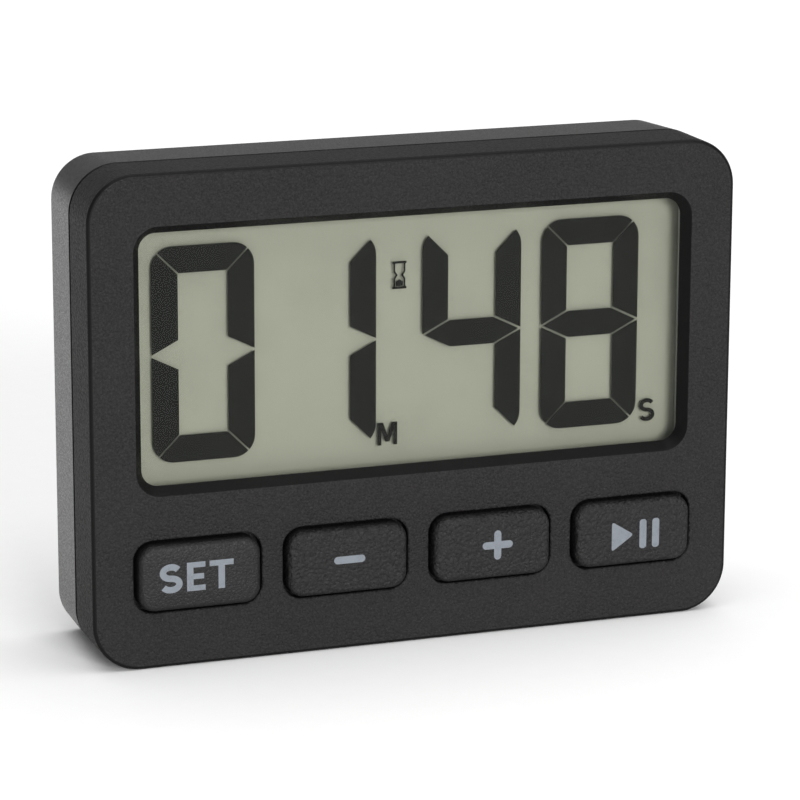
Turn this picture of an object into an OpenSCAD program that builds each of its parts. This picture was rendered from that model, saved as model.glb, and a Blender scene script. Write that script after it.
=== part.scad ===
// Digital kitchen timer: two-part case, display, four buttons, battery door and fold-out stand.
// +X is to the right, +Y is away from the user, +Z is up, and z = 0 is the surface it stands on.
// Depths are counted from the front face: the module seat() moves a piece made that way into place.

/* [Case] */
// Width of the case
body_w = 75; // [70:1:90]
// Height of the case
body_h = 55; // [50:1:66]
// Radius of the case corners, seen from the front
corner_r = 5.4; // [4:0.2:7]
// Thickness of the side walls
wall = 1.6; // [1.5:0.1:2]
// Thickness of the front plate, which is also the depth of the display recess
face_t = 1.3; // [1.1:0.1:1.6]
// Rounding of the edge round the front face
edge_round = 0.4; // [0.2:0.1:0.6]
// Depth from the front face to the parting line
front_depth = 7.2; // [6.6:0.1:8.8]
// Width of the groove along the parting line
groove_w = 0.4; // [0.2:0.1:0.6]
// How far the rear shell draws in towards its back
rear_draft = 0.5; // [0.3:0.1:0.8]
// Thickness of the rear wall
rear_t = 1.6; // [1.4:0.1:1.8]

/* [Display] */
// Margin from the side of the case to the visible display
display_side = 6; // [5.6:0.2:8]
// Margin from the top of the case to the visible display
display_top = 6.7; // [6.5:0.1:8]
// Height of the button band under the visible display
button_band = 20.3; // [19.6:0.1:22]
// Corner radius of the visible display
display_r = 1.9; // [1:0.1:3]
// How far the recess walls slope outwards
recess_slope = 0.85; // [0.4:0.05:1]
// Thickness of the clear window
window_t = 1; // [0.8:0.1:1.2]
// Thickness of each glass of the liquid-crystal cell
glass_t = 0.5; // [0.4:0.1:0.7]
// Width of the strokes of the digits
stroke = 3; // [2:0.1:3.4]

/* [Buttons] */
// Width of each button hole
button_w = 14.6; // [12:0.2:15]
// Height of each button hole
button_h = 8.2; // [7:0.2:8.6]
// Height of the button centres above the base
button_z = 10.4; // [10:0.1:10.8]
// Distance between button centres
button_pitch = 17.05; // [16.4:0.05:17.4]
// Gap between a cap and its hole
button_gap = 0.37; // [0.25:0.01:0.5]
// How far the caps stand out of the front face
cap_proud = 1.05; // [0.9:0.05:1.4]
// Travel of a pressed button
button_travel = 0.8; // [0.5:0.1:0.9]

/* [Battery] */
// Diameter of the battery cell
battery_d = 10.5; // [9.6:0.1:12.6]
// Length of the battery cell over its nub
battery_l = 44.5; // [40:0.5:46]
// Distance from the top of the case to the battery axis
battery_drop = 20; // [19:0.5:21]
// Thickness of the battery door
door_t = 1.3; // [1.1:0.1:1.5]

/* [Stand and magnets] */
// Width of the fold-out stand
stand_w = 24; // [18:1:25]
// Thickness of the stand
stand_t = 2; // [1.6:0.1:2.4]
// Diameter of the stand's pivot pins
pivot_d = 1.6; // [1.2:0.1:1.8]
// Widest opening angle of the stand
stand_angle = 40; // [30:1:45]
// Diameter of each magnet
magnet_d = 9; // [7:0.5:10]
// Thickness of each magnet
magnet_t = 2; // [1.5:0.1:2.5]

/* [Sound] */
// Diameter of the buzzer's brass plate
buzzer_d = 20; // [15:0.5:20]

/* [Hidden] */
$fn = 64;

// Number of sides of round corners inside a hull
hull_fn = 32;
// Overlap that lets a cut pass its surface
over = 0.1;
// Thickness of the thin plates that a hull spans
skin = 0.01;
// Slack between pieces that drop into each other
slack = 0.1;

// Depths from the front face, from front to back
film_t = 0.2;
cell_gap = 0.05;
reflector_t = 0.25;
window_d = face_t;
polariser_d = window_d + window_t;
front_glass_d = polariser_d + film_t;
cell_d = front_glass_d + glass_t;
rear_glass_d = cell_d + cell_gap;
reflector_d = rear_glass_d + glass_t;
lcd_back_d = reflector_d + reflector_t;
pocket_wall = 0.8;
pocket_d = lcd_back_d + 0.25;
pocket_floor_d = pocket_d + pocket_wall;
cell_slack = 0.15;
battery_axis_d = pocket_floor_d + cell_slack + battery_d / 2;
door_d = battery_axis_d + battery_d / 2 + cell_slack + 0.05;
body_d = door_d + door_t;
rear_wall_d = body_d - rear_t;
front_y = (cap_proud - body_d) / 2;

// Case
rebate_wall = 0.7;
lip_t = wall - rebate_wall - slack;
lip_h = 1.4;
rebate_d = front_depth - groove_w / 2 - lip_h;
rear_start_d = front_depth + groove_w / 2;
front_end_d = front_depth - groove_w / 2;
inner_x = body_w / 2 - wall;
rear_chamfer = 0.3;

// Display
display_w = body_w - 2 * display_side;
display_h = body_h - display_top - button_band;
display_z = button_band + display_h / 2;
window_lap = 1.5;
glass_lap = 0.8;
film_lap = 0.6;
ledge_h = 2.3;
glass_w = display_w + 2 * glass_lap;
rear_glass_z0 = button_band - glass_lap;
glass_z1 = button_band + display_h + glass_lap;
front_glass_z0 = rear_glass_z0 - ledge_h;
frame_wall = 1;
frame_w = glass_w + 2 * (slack + frame_wall);
frame_z0 = front_glass_z0 - slack - frame_wall;
frame_z1 = glass_z1 + slack + frame_wall;
zebra_h = ledge_h - 0.4;
zebra_z = rear_glass_z0 - ledge_h / 2;

// Digits
digit_h = display_h - 3.95;
digit_w = 0.185 * display_w;
segment_gap = 0.16;
miter = segment_gap / sqrt(2);
digit_x = [-0.471, -0.2484, 0.023, 0.2476];
digit_on = ["abcdef", "bc", "bcfg", "abcdefg"];
digit_z0 = button_band + (display_h - digit_h) / 2;

// Board and keypad
board_t = 1;
board_d = 5.6 + (window_t - 1) + (face_t - 1.3) + 2 * (glass_t - 0.5);
board_back_d = board_d + board_t;
board_gap = 0.4;
board_w = 2 * (inner_x - board_gap);
board_z0 = wall + board_gap;
board_z1 = rear_glass_z0 + 2.4;
cap_w = button_w - 2 * button_gap;
cap_h = button_h - 2 * button_gap;
hole_r = 2.2;
cap_r = hole_r - button_gap;
cap_round = 0.35;
cap_top_t = 1.4;
cap_wall = 1.1;
flange_lap = 0.5;
flange_t = 0.7;
flange_d = face_t + 0.05;
cap_back_d = flange_d + flange_t;
post_r = 2.4;
mat_t = 0.8;
mat_d = board_d - mat_t;
mat_w = 3 * button_pitch + 12;
mat_h = button_h + 1.6;
dome_r = 3.8;
dome_skirt_t = 0.5;
dome_top_r = 2.6;
pill_r = 2;
pill_t = 0.4;
pill_d = board_d - button_travel - pill_t;
button_x = [for (i = [-1.5, -0.5, 0.5, 1.5]) i * button_pitch];

// Screws
screw_r = 0.85;
screw_head_r = 1.6;
screw_head_t = 1.1;
screw_clear = 0.02;
boss_gap = 0.05;
top_boss_z = (button_band + display_h + window_lap + body_h - wall) / 2;
low_boss_z = (wall + button_z - button_h / 2 - flange_lap) / 2;
boss_r = min(body_h - wall - top_boss_z, button_z - mat_h / 2 - low_boss_z) - boss_gap;
case_screw_x = body_w / 2 - 8.5;
case_screw_at = [
    [-case_screw_x, low_boss_z], [case_screw_x, low_boss_z],
    [-case_screw_x, top_boss_z], [case_screw_x, top_boss_z]
];
board_screw_x = inner_x - screw_head_r - slack;
board_screw_z = (button_z + button_h / 2 + flange_lap + button_band - window_lap) / 2;
board_screw_at = [[-board_screw_x, board_screw_z], [board_screw_x, board_screw_z], [0, low_boss_z]];
column_r = 2.6;
head_well_r = 2.05;
shank_hole_r = 1.1;
seat_d = board_back_d + 2;
boss_blind = 0.8;

// Battery pocket, contacts and door
battery_z = body_h - battery_drop;
contact_t = 0.4;
spring_l = 3.4;
pocket_l = battery_l + spring_l + 2 * contact_t;
pocket_h = battery_d + 2 * cell_slack;
pocket_end = 1;
battery_x0 = -pocket_l / 2 + contact_t + spring_l;
nub_l = 0.8;
nub_r = 1.9;
rim_r = 0.6;
door_lap = 0.8;
door_gap = 0.15;
door_w = pocket_l + 2 * door_lap;
door_h = pocket_h + 2 * (pocket_end + door_lap) - 1;
door_z0 = battery_z - door_h / 2;
door_z1 = battery_z + door_h / 2;
door_r = 1.2;
tab_w = 6;
tab_x = pocket_l / 2 - 6;
tab_reach = 1.2;
tab_t = 0.9;
tab_d = rear_wall_d - 0.1 - tab_t;
latch_w = 8;
latch_t = 0.8;
latch_l = 3.2;
nib = 0.6;
notch_r = 5;
contact_w = 8;
contact_h = 8;
wire_r = 0.25;
spring_turns = 3.5;
spring_steps = 18;
spring_r0 = 3.4;
spring_r1 = 2;

// Stand
stand_gap = 0.2;
pivot_z = battery_z - pocket_h / 2 - pocket_end - 2.9;
stand_z0 = 3.4;
pivot_d_depth = body_d - stand_gap - stand_t / 2;
tail_l = 1.5;
tail_swing = sqrt(tail_l * tail_l + stand_t * stand_t / 4);
stop_depth = stand_t / 2 * cos(stand_angle) + tail_l * sin(stand_angle);
trough_wall = 1;
pin_l = 1.2;
pivot_clear = 0.05;
scoop_w = 11;
scoop_h = 2;
trough_w = stand_w + 2 * stand_gap;
trough_z1 = pivot_z + tail_swing + stand_gap;

// Magnets and buzzer
magnet_x = body_w / 4;
magnet_z = (door_z1 + body_h - wall) / 2;
magnet_wall = 0.8;
buzzer_x = -(trough_w / 2 + trough_wall + slack + buzzer_d / 2 + 0.6);
buzzer_z = (low_boss_z + column_r + battery_z - pocket_h / 2 - pocket_end) / 2;
buzzer_ring_h = 1.5;
buzzer_t = 0.2;
ceramic_r = 0.35 * buzzer_d;
sound_hole_r = 0.6;
sound_circle_r = 0.19 * buzzer_d;
sound_holes = 8;
lead_r = 0.45;
lead_d = battery_axis_d - contact_h / 2 + 1.2;
lead_z = battery_z - 2;

// ---- Shared shapes ----

// Puts a piece whose depths are counted from the front face into place
module seat() {
    translate([0, front_y, 0])
        children();
}

// Rectangle with exact round corners, centred
module rounded_rect(w, h, r) {
    square([w - 2 * r, h], center = true);
    square([w, h - 2 * r], center = true);
    for (sx = [-1, 1], sz = [-1, 1])
        translate([sx * (w / 2 - r), sz * (h / 2 - r)])
            circle(r = r);
}

// Upright plate with round corners from depth d0 to d1, standing on height z0
module plate(w, h, r, d0, d1, z0, x0 = 0) {
    translate([x0, d1, z0 + h / 2])
        rotate([90, 0, 0])
            linear_extrude(height = d1 - d0)
                rounded_rect(w, h, r);
}

// Upright square-cornered block from depth d0 to d1
module block(x0, x1, d0, d1, z0, z1) {
    translate([x0, d0, z0])
        cube([x1 - x0, d1 - d0, z1 - z0]);
}

// Round rod or bore that runs from depth d0 to d1
module rod(x, z, r, d0, d1) {
    translate([x, d0, z])
        rotate([-90, 0, 0])
            cylinder(r = r, h = d1 - d0);
}

// Round rod or bore along X
module cross_rod(x0, x1, d, z, r) {
    translate([x0, d, z])
        rotate([0, 90, 0])
            cylinder(r = r, h = x1 - x0);
}

// Path of a wire through its corner points, each corner rounded off over the length cut
function unit(v) = v / norm(v);

function bent(corners, cut, steps = 4) =
    let (last = len(corners) - 1)
    [
        corners[0],
        for (i = [1 : 1 : last - 1])
            let (
                p = corners[i],
                a = p + cut * unit(corners[i - 1] - p),
                b = p + cut * unit(corners[i + 1] - p)
            )
            for (k = [0 : steps])
                let (t = k / steps)
                (1 - t) * (1 - t) * a + 2 * t * (1 - t) * p + t * t * b,
        corners[last]
    ];

// Ring of points round place i of a path; up is a direction that the path never takes
function tube_ring(path, i, r, up, sides) =
    let (
        along = unit(path[min(i + 1, len(path) - 1)] - path[max(i - 1, 0)]),
        across = unit(cross(up, along)),
        third = cross(along, across)
    )
    [for (k = [0 : sides - 1])
        path[i] + r * (cos(k * 360 / sides) * across + sin(k * 360 / sides) * third)];

// Wire of radius r swept along a path
module tube(path, r, up, sides = 8) {
    last_ring = len(path) - 1;
    points = [for (i = [0 : last_ring]) each tube_ring(path, i, r, up, sides)];
    start = [[for (k = [0 : sides - 1]) k]];
    end = [[for (k = [sides - 1 : -1 : 0]) last_ring * sides + k]];
    walls = [for (i = [0 : last_ring - 1], k = [0 : sides - 1])
        let (next = (k + 1) % sides)
        [i * sides + k, (i + 1) * sides + k, (i + 1) * sides + next, i * sides + next]];
    polyhedron(points, concat(start, walls, end), convexity = 8);
}

// ---- Case ----

module front_outer() {
    hull() {
        plate(body_w - 2 * edge_round, body_h - 2 * edge_round, corner_r - edge_round,
            0, skin, edge_round, $fn = hull_fn);
        plate(body_w - 0.6 * edge_round, body_h - 0.6 * edge_round, corner_r - 0.3 * edge_round,
            0.3 * edge_round, 0.3 * edge_round + skin, 0.3 * edge_round, $fn = hull_fn);
        plate(body_w, body_h, corner_r, edge_round, front_end_d, 0, $fn = hull_fn);
    }
}

// Opening for the display, which widens towards the front
module display_recess() {
    hull() {
        plate(display_w, display_h, display_r, face_t, face_t + skin, button_band, $fn = hull_fn);
        plate(display_w + 2 * recess_slope, display_h + 2 * recess_slope, display_r + recess_slope,
            -skin, 0, button_band - recess_slope, $fn = hull_fn);
    }
    plate(display_w, display_h, display_r, face_t, face_t + over, button_band);
}

// Front half of the case: face, recess, button holes, walls and screw bosses
module front_shell() {
    color("dimgray") seat() difference() {
        union() {
            difference() {
                front_outer();
                plate(body_w - 2 * wall, body_h - 2 * wall, corner_r - wall,
                    face_t, front_end_d + over, wall);
            }
            for (at = case_screw_at)
                rod(at[0], at[1], boss_r, face_t - over, board_d);
            for (at = board_screw_at)
                rod(at[0], at[1], boss_r, face_t - over, board_d);
        }
        plate(body_w - 2 * rebate_wall, body_h - 2 * rebate_wall, corner_r - rebate_wall,
            rebate_d, front_end_d + over, rebate_wall);
        display_recess();
        for (x = button_x)
            plate(button_w, button_h, hole_r, -over, face_t + over, button_z - button_h / 2, x);
        for (at = concat(case_screw_at, board_screw_at))
            rod(at[0], at[1], screw_r + screw_clear, face_t + boss_blind, board_d + over);
    }
}

module rear_outer() {
    back_w = body_w - 2 * rear_draft;
    back_h = body_h - rear_draft;
    back_r = corner_r - rear_draft;
    hull() {
        plate(body_w, body_h, corner_r, rear_start_d, rear_start_d + skin, 0, $fn = hull_fn);
        plate(back_w, back_h, back_r, body_d - rear_chamfer - skin, body_d - rear_chamfer, 0,
            $fn = hull_fn);
        plate(back_w - 2 * rear_chamfer, back_h - 2 * rear_chamfer, back_r - rear_chamfer,
            body_d - skin, body_d, rear_chamfer, $fn = hull_fn);
    }
}

module rear_inner() {
    hull() {
        plate(body_w - 2 * wall, body_h - 2 * wall, corner_r - wall,
            rear_start_d - over, rear_start_d, wall, $fn = hull_fn);
        plate(body_w - 2 * wall - 2 * rear_draft, body_h - 2 * wall - rear_draft,
            corner_r - wall - rear_draft, rear_wall_d - skin, rear_wall_d, wall, $fn = hull_fn);
    }
}

// Lip that locates the rear shell inside the front shell
module lip() {
    lip_out = rebate_wall + slack;
    difference() {
        plate(body_w - 2 * lip_out, body_h - 2 * lip_out, corner_r - lip_out,
            rebate_d + slack, rear_start_d + over, lip_out);
        plate(body_w - 2 * wall, body_h - 2 * wall, corner_r - wall,
            rebate_d, rear_start_d + 2 * over, wall);
    }
}

// Walls of the battery pocket
module pocket_walls() {
    half = pocket_l / 2 + pocket_end;
    block(-half, half, pocket_d, rear_wall_d + over,
        battery_z - pocket_h / 2 - pocket_end, battery_z + pocket_h / 2 + pocket_end);
}

// Everything cut out for the battery, its door, the door's tabs and its latch
module pocket_cuts() {
    half_h = pocket_h / 2;
    block(-pocket_l / 2, pocket_l / 2, pocket_floor_d, body_d + over,
        battery_z - half_h, battery_z + half_h);
    plate(door_w + 2 * door_gap, door_h + 2 * door_gap, door_r + door_gap,
        door_d, body_d + over, door_z0 - door_gap);
    for (sx = [-1, 1])
        block(sx * tab_x - tab_w / 2 - slack, sx * tab_x + tab_w / 2 + slack,
            tab_d - 1.6, door_d + over, door_z0 - tab_reach - 0.3, battery_z);
    for (sx = [-1, 1])
        block(sx * tab_x - tab_w / 2 - slack, sx * tab_x + tab_w / 2 + slack,
            rear_wall_d, body_d + over, door_z0 - door_gap, battery_z);
    block(-latch_w / 2 - slack, latch_w / 2 + slack,
        door_d - latch_l - 0.2, rear_wall_d, battery_z, door_z1 + door_gap + nib + slack);
    block(-latch_w / 2 - slack, latch_w / 2 + slack,
        door_d - latch_l - 0.2, door_d + over, battery_z, door_z1 + door_gap);
    rod(0, door_z1 + 0.5, notch_r, body_d - 0.7, body_d + over);
    for (sx = [-1, 1])
        translate([sx * (pocket_l / 2 + pocket_end / 2), 0, 0])
            cross_rod(-pocket_end, pocket_end, lead_d, lead_z, lead_r + slack);
}

// Sunk bed for the folded stand, seen as a solid, with a deeper end under its tail
module stand_bed(grow) {
    floor_d = body_d - 2 * stand_gap - stand_t;
    block(-trough_w / 2 - grow, trough_w / 2 + grow, floor_d - grow, body_d - grow * 0.5,
        stand_z0 - stand_gap - grow, trough_z1 + grow);
    block(-trough_w / 2 - grow, trough_w / 2 + grow, pivot_d_depth - stop_depth - 0.02 - grow,
        body_d - grow * 0.5, pivot_z - stand_t / 2 - 1.6 - grow, trough_z1 + grow);
}

module screw_columns() {
    for (at = case_screw_at)
        rod(at[0], at[1], column_r, board_back_d, rear_wall_d + over);
}

module screw_wells() {
    for (at = case_screw_at) {
        rod(at[0], at[1], shank_hole_r, board_back_d - over, seat_d + over);
        rod(at[0], at[1], head_well_r, seat_d, body_d + over);
    }
}

// Ring that carries the buzzer's brass plate
module buzzer_ring() {
    rod(buzzer_x, buzzer_z, buzzer_d / 2, rear_wall_d - buzzer_ring_h, rear_wall_d + over);
}

module buzzer_cuts() {
    rod(buzzer_x, buzzer_z, buzzer_d / 2 - 1, rear_wall_d - buzzer_ring_h - over, rear_wall_d);
    rod(buzzer_x, buzzer_z, sound_hole_r, rear_wall_d - over, body_d + over);
    for (i = [0 : sound_holes - 1])
        rod(buzzer_x + sound_circle_r * cos(i * 360 / sound_holes),
            buzzer_z + sound_circle_r * sin(i * 360 / sound_holes),
            sound_hole_r, rear_wall_d - over, body_d + over);
}

// Rear half of the case: walls, battery pocket, stand bed, screw columns and magnet seats
module rear_shell() {
    color("gray") seat() difference() {
        union() {
            difference() {
                rear_outer();
                rear_inner();
            }
            lip();
            intersection() {
                union() {
                    pocket_walls();
                    screw_columns();
                    buzzer_ring();
                    stand_bed(trough_wall);
                    for (sx = [-1, 1])
                        rod(sx * magnet_x, magnet_z, magnet_d / 2 + slack + magnet_wall,
                            body_d - magnet_t - magnet_wall, rear_wall_d + over);
                }
                union() {
                    block(-inner_x, inner_x, 0, body_d - over, wall, body_h - wall);
                    block(-inner_x, inner_x, rear_start_d, body_d - over, wall - over,
                        body_h - wall);
                }
            }
        }
        pocket_cuts();
        screw_wells();
        buzzer_cuts();
        stand_bed(0);
        cross_rod(-trough_w / 2 - pin_l, trough_w / 2 + pin_l, pivot_d_depth, pivot_z,
            pivot_d / 2 + pivot_clear);
        block(-scoop_w / 2, scoop_w / 2, body_d - stand_t, body_d + over,
            stand_z0 - stand_gap - scoop_h + 0.6, stand_z0);
        for (sx = [-1, 1])
            rod(sx * magnet_x, magnet_z, magnet_d / 2 + slack / 2, body_d - magnet_t, body_d + over);
    }
}

// ---- Display ----

// Clear window bonded behind the front plate
module display_window() {
    color("lightcyan", 0.4) seat()
        plate(display_w + 2 * window_lap, display_h + 2 * window_lap, 1,
            window_d, window_d + window_t, button_band - window_lap);
}

module front_polariser() {
    color("lightgray", 0.5) seat()
        block(-display_w / 2 - film_lap, display_w / 2 + film_lap, polariser_d, front_glass_d,
            button_band - film_lap, button_band + display_h + film_lap);
}

// Front glass of the cell, longer at the bottom so that its contacts lie open
module front_glass() {
    color("azure", 0.4) seat()
        block(-glass_w / 2, glass_w / 2, front_glass_d, cell_d, front_glass_z0, glass_z1);
}

// One stroke of a digit, named a to g, on a field digit_w by digit_h
module segment(name) {
    w = digit_w;
    h = digit_h;
    s = stroke;
    m = miter;
    mid = h / 2;
    if (name == "a")
        polygon([[m, h], [w - m, h], [w - s - m, h - s], [s + m, h - s]]);
    if (name == "d")
        polygon([[m, 0], [s + m, s], [w - s - m, s], [w - m, 0]]);
    if (name == "f")
        polygon([[0, h - m], [s, h - s - m], [s, mid + s / 2 + m], [0, mid + m]]);
    if (name == "b")
        polygon([[w, h - m], [w, mid + m], [w - s, mid + s / 2 + m], [w - s, h - s - m]]);
    if (name == "e")
        polygon([[0, m], [0, mid - m], [s, mid - s / 2 - m], [s, s + m]]);
    if (name == "c")
        polygon([[w, m], [w - s, s + m], [w - s, mid - s / 2 - m], [w, mid - m]]);
    if (name == "g")
        polygon([
            [2 * m, mid], [s + 2 * m, mid + s / 2], [w - s - 2 * m, mid + s / 2],
            [w - 2 * m, mid], [w - s - 2 * m, mid - s / 2], [s + 2 * m, mid - s / 2]
        ]);
}

// The dark strokes of the four digits, in the gap between the glasses
module lcd_segments() {
    color("black") seat()
        for (i = [0 : 3], name = digit_on[i])
            translate([digit_x[i] * display_w, rear_glass_d, digit_z0])
                rotate([90, 0, 0])
                    linear_extrude(height = cell_gap)
                        segment(name);
}

module rear_glass() {
    color("azure", 0.4) seat()
        block(-glass_w / 2, glass_w / 2, rear_glass_d, reflector_d, rear_glass_z0, glass_z1);
}

// Rear polariser with its reflecting layer
module reflector() {
    color("darkseagreen") seat()
        block(-display_w / 2 - film_lap, display_w / 2 + film_lap, reflector_d, lcd_back_d,
            button_band - film_lap, button_band + display_h + film_lap);
}

// Frame that centres the cell and guides the contact strip
module lcd_frame() {
    color("whitesmoke") seat() difference() {
        union() {
            block(-frame_w / 2, frame_w / 2, polariser_d, pocket_d, frame_z0, frame_z1);
            block(-frame_w / 2, frame_w / 2, polariser_d, board_d, frame_z0,
                rear_glass_z0 + frame_wall);
        }
        block(-glass_w / 2 - slack, glass_w / 2 + slack, polariser_d - over, lcd_back_d,
            front_glass_z0 - slack, glass_z1 + slack);
        block(-display_w / 2, display_w / 2, polariser_d, board_d + over,
            rear_glass_z0 + frame_wall, glass_z1 - frame_wall);
        block(-glass_w / 2 + frame_wall - slack, glass_w / 2 - frame_wall + slack, cell_d - over,
            board_d + over, zebra_z - zebra_h / 2 - 0.05, zebra_z + zebra_h / 2 + 0.05);
        for (at = concat(board_screw_at, case_screw_at))
            rod(at[0], at[1], boss_r + slack, polariser_d - over, board_d + over);
    }
}

// Rubber strip that joins the glass contacts to the board
module zebra_strip() {
    color("lightpink") seat()
        block(-glass_w / 2 + frame_wall, glass_w / 2 - frame_wall, cell_d, board_d,
            zebra_z - zebra_h / 2, zebra_z + zebra_h / 2);
}

// ---- Electronics ----

module circuit_board() {
    color("darkgreen") seat() difference() {
        plate(board_w, board_z1 - board_z0, corner_r - wall - board_gap,
            board_d, board_back_d, board_z0);
        for (at = [case_screw_at[0], case_screw_at[1]])
            rod(at[0], at[1], shank_hole_r, board_d - over, board_back_d + over);
        for (at = board_screw_at)
            rod(at[0], at[1], screw_r + slack, board_d - over, board_back_d + over);
    }
}

// Timer chip under its dome of black resin
module timer_chip() {
    chip_r = 4.5;
    chip_h = 1.3;
    ball_r = (chip_r * chip_r + chip_h * chip_h) / (2 * chip_h);
    color("black") seat()
        translate([button_pitch / 2, board_back_d, button_z])
            rotate([-90, 0, 0])
                rotate_extrude()
                    intersection() {
                        translate([0, chip_h - ball_r])
                            circle(r = ball_r);
                        square([chip_r, chip_h]);
                    }
}

// Quartz crystal in its metal can, lying on the board
module quartz_crystal() {
    can_r = 1;
    can_l = 6;
    x = 1.5 * button_pitch;
    color("silver") seat() {
        translate([x, board_back_d + can_r, button_z - can_l / 2])
            cylinder(r = can_r, h = can_l);
        for (sx = [-1, 1])
            translate([x + sx * 0.35, board_back_d + can_r, button_z + can_l / 2])
                cylinder(r = 0.15, h = 1.5);
    }
}

// Chip resistors and capacitors
module chip_parts() {
    part_w = 2;
    part_h = 1.25;
    part_t = 0.6;
    color("tan") seat()
        for (i = [0 : 3])
            translate([button_pitch / 2 + 7 + (i % 2) * 3, board_back_d,
                button_z - 1.5 + 3 * floor(i / 2)])
                cube([part_w, part_t, part_h]);
}

// ---- Keypad ----

// Web of the rubber keypad, with a hole where each dome rises
module keypad_mat() {
    color("slategray") seat() difference() {
        plate(mat_w, mat_h, 1, mat_d, board_d, button_z - mat_h / 2);
        for (x = button_x)
            rod(x, button_z, dome_r, mat_d - over, board_d + over);
    }
}

// Flexible dome of the keypad: a foot, a thin skirt and a solid crown
module dome(x) {
    foot_t = mat_t;
    crown_z = board_d - cap_back_d;
    post_z = board_d - pill_d;
    color("slategray") seat()
        translate([x, board_d, button_z])
            rotate([90, 0, 0])
                rotate_extrude()
                    polygon([
                        [dome_r - dome_skirt_t, 0], [dome_r, 0], [dome_r, foot_t],
                        [dome_top_r, crown_z - 0.7], [dome_top_r, crown_z], [0, crown_z],
                        [0, post_z], [pill_r + 0.2, post_z], [pill_r + 0.2, crown_z - 1.1],
                        [dome_r - dome_skirt_t, foot_t - 0.2]
                    ]);
}

module dome_set() dome(button_x[0]);
module dome_minus() dome(button_x[1]);
module dome_plus() dome(button_x[2]);
module dome_start() dome(button_x[3]);

// Cap with a rounded rim, a flange behind the face and a post that presses the dome
module cap(x) {
    color("dimgray") seat() {
        difference() {
            union() {
                hull() {
                    plate(cap_w - 2 * cap_round, cap_h - 2 * cap_round, cap_r - cap_round,
                        -cap_proud, skin - cap_proud, button_z - cap_h / 2 + cap_round, x,
                        $fn = hull_fn);
                    plate(cap_w - 0.6 * cap_round, cap_h - 0.6 * cap_round,
                        cap_r - 0.3 * cap_round, 0.3 * cap_round - cap_proud,
                        0.3 * cap_round + skin - cap_proud,
                        button_z - cap_h / 2 + 0.3 * cap_round, x, $fn = hull_fn);
                    plate(cap_w, cap_h, cap_r, cap_round - cap_proud, flange_d,
                        button_z - cap_h / 2, x, $fn = hull_fn);
                }
                plate(button_w + 2 * flange_lap, button_h + 2 * flange_lap, hole_r + flange_lap,
                    flange_d, cap_back_d, button_z - button_h / 2 - flange_lap, x);
            }
            plate(cap_w - 2 * cap_wall, cap_h - 2 * cap_wall, cap_r - cap_wall,
                cap_top_t - cap_proud, cap_back_d + over, button_z - cap_h / 2 + cap_wall, x);
        }
        rod(x, button_z, post_r, cap_top_t - cap_proud - over, cap_back_d);
    }
}

module button_set() cap(button_x[0]);
module button_minus() cap(button_x[1]);
module button_plus() cap(button_x[2]);
module button_start() cap(button_x[3]);

// Carbon pill under a dome, which bridges the contacts on the board
module pill(x) {
    color("black") seat()
        rod(x, button_z, pill_r, pill_d, pill_d + pill_t);
}

module pill_set() pill(button_x[0]);
module pill_minus() pill(button_x[1]);
module pill_plus() pill(button_x[2]);
module pill_start() pill(button_x[3]);

// ---- Buzzer ----

module buzzer_plate() {
    color("gold") seat()
        rod(buzzer_x, buzzer_z, buzzer_d / 2,
            rear_wall_d - buzzer_ring_h - buzzer_t, rear_wall_d - buzzer_ring_h);
}

module buzzer_ceramic() {
    color("linen") seat()
        rod(buzzer_x, buzzer_z, ceramic_r,
            rear_wall_d - buzzer_ring_h - 2 * buzzer_t, rear_wall_d - buzzer_ring_h - buzzer_t);
}

// Two insulated leads from the board to the brass plate and to the ceramic
module buzzer_leads() {
    plate_d = rear_wall_d - buzzer_ring_h - buzzer_t;
    start_x = buzzer_x + buzzer_d / 2 + 3;
    up = [0, 0, 1];
    end_x = [buzzer_x + ceramic_r / 2, buzzer_x + ceramic_r + 1.4];
    end_d = [plate_d - buzzer_t, plate_d];
    color("firebrick") seat()
        for (i = [0, 1])
            tube(bent([
                [start_x, board_back_d, buzzer_z - 3 * i],
                [start_x, board_back_d + 2.6, buzzer_z - 3 * i],
                [end_x[i], plate_d - 2.4, buzzer_z - 3 * i],
                [end_x[i], end_d[i], buzzer_z - 3 * i]
            ], 0.8), lead_r, up);
}

// ---- Battery and contacts ----

// AAA cell with a sleeve groove and a nub at its positive end
module battery() {
    r = battery_d / 2;
    can_l = battery_l - nub_l;
    color("steelblue") seat()
        translate([battery_x0, battery_axis_d, battery_z])
            rotate([0, 90, 0])
                rotate_extrude()
                    polygon([
                        [0, 0], [r - rim_r, 0], [r, rim_r], [r, can_l - rim_r],
                        [r - rim_r, can_l], [nub_r, can_l], [nub_r, battery_l], [0, battery_l]
                    ]);
}

// Sprung plate that the nub presses on
module positive_contact() {
    x1 = pocket_l / 2;
    color("silver") seat()
        block(x1 - contact_t, x1, battery_axis_d - contact_h / 2, battery_axis_d + contact_h / 2,
            battery_z - contact_w / 2, battery_z + contact_w / 2);
}

function spring_point(t) =
    let (
        turns = spring_turns * 360 * t,
        r = spring_r0 + (spring_r1 - spring_r0) * t,
        rise = min(max((t - 0.14) / 0.72, 0), 1),
        x = wire_r + (spring_l - 2 * wire_r - slack / 2) * rise
    )
    [x, r * cos(turns), r * sin(turns)];

// Conical spring on a plate at the negative end
module negative_contact() {
    x0 = -pocket_l / 2;
    rings = ceil(spring_turns * spring_steps);
    color("silver") seat() {
        block(x0, x0 + contact_t, battery_axis_d - contact_h / 2, battery_axis_d + contact_h / 2,
            battery_z - contact_w / 2, battery_z + contact_w / 2);
        translate([x0 + contact_t - slack / 2, battery_axis_d, battery_z])
            tube([for (i = [0 : rings]) spring_point(i / rings)], wire_r, [1, 0, 0]);
    }
}

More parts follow.
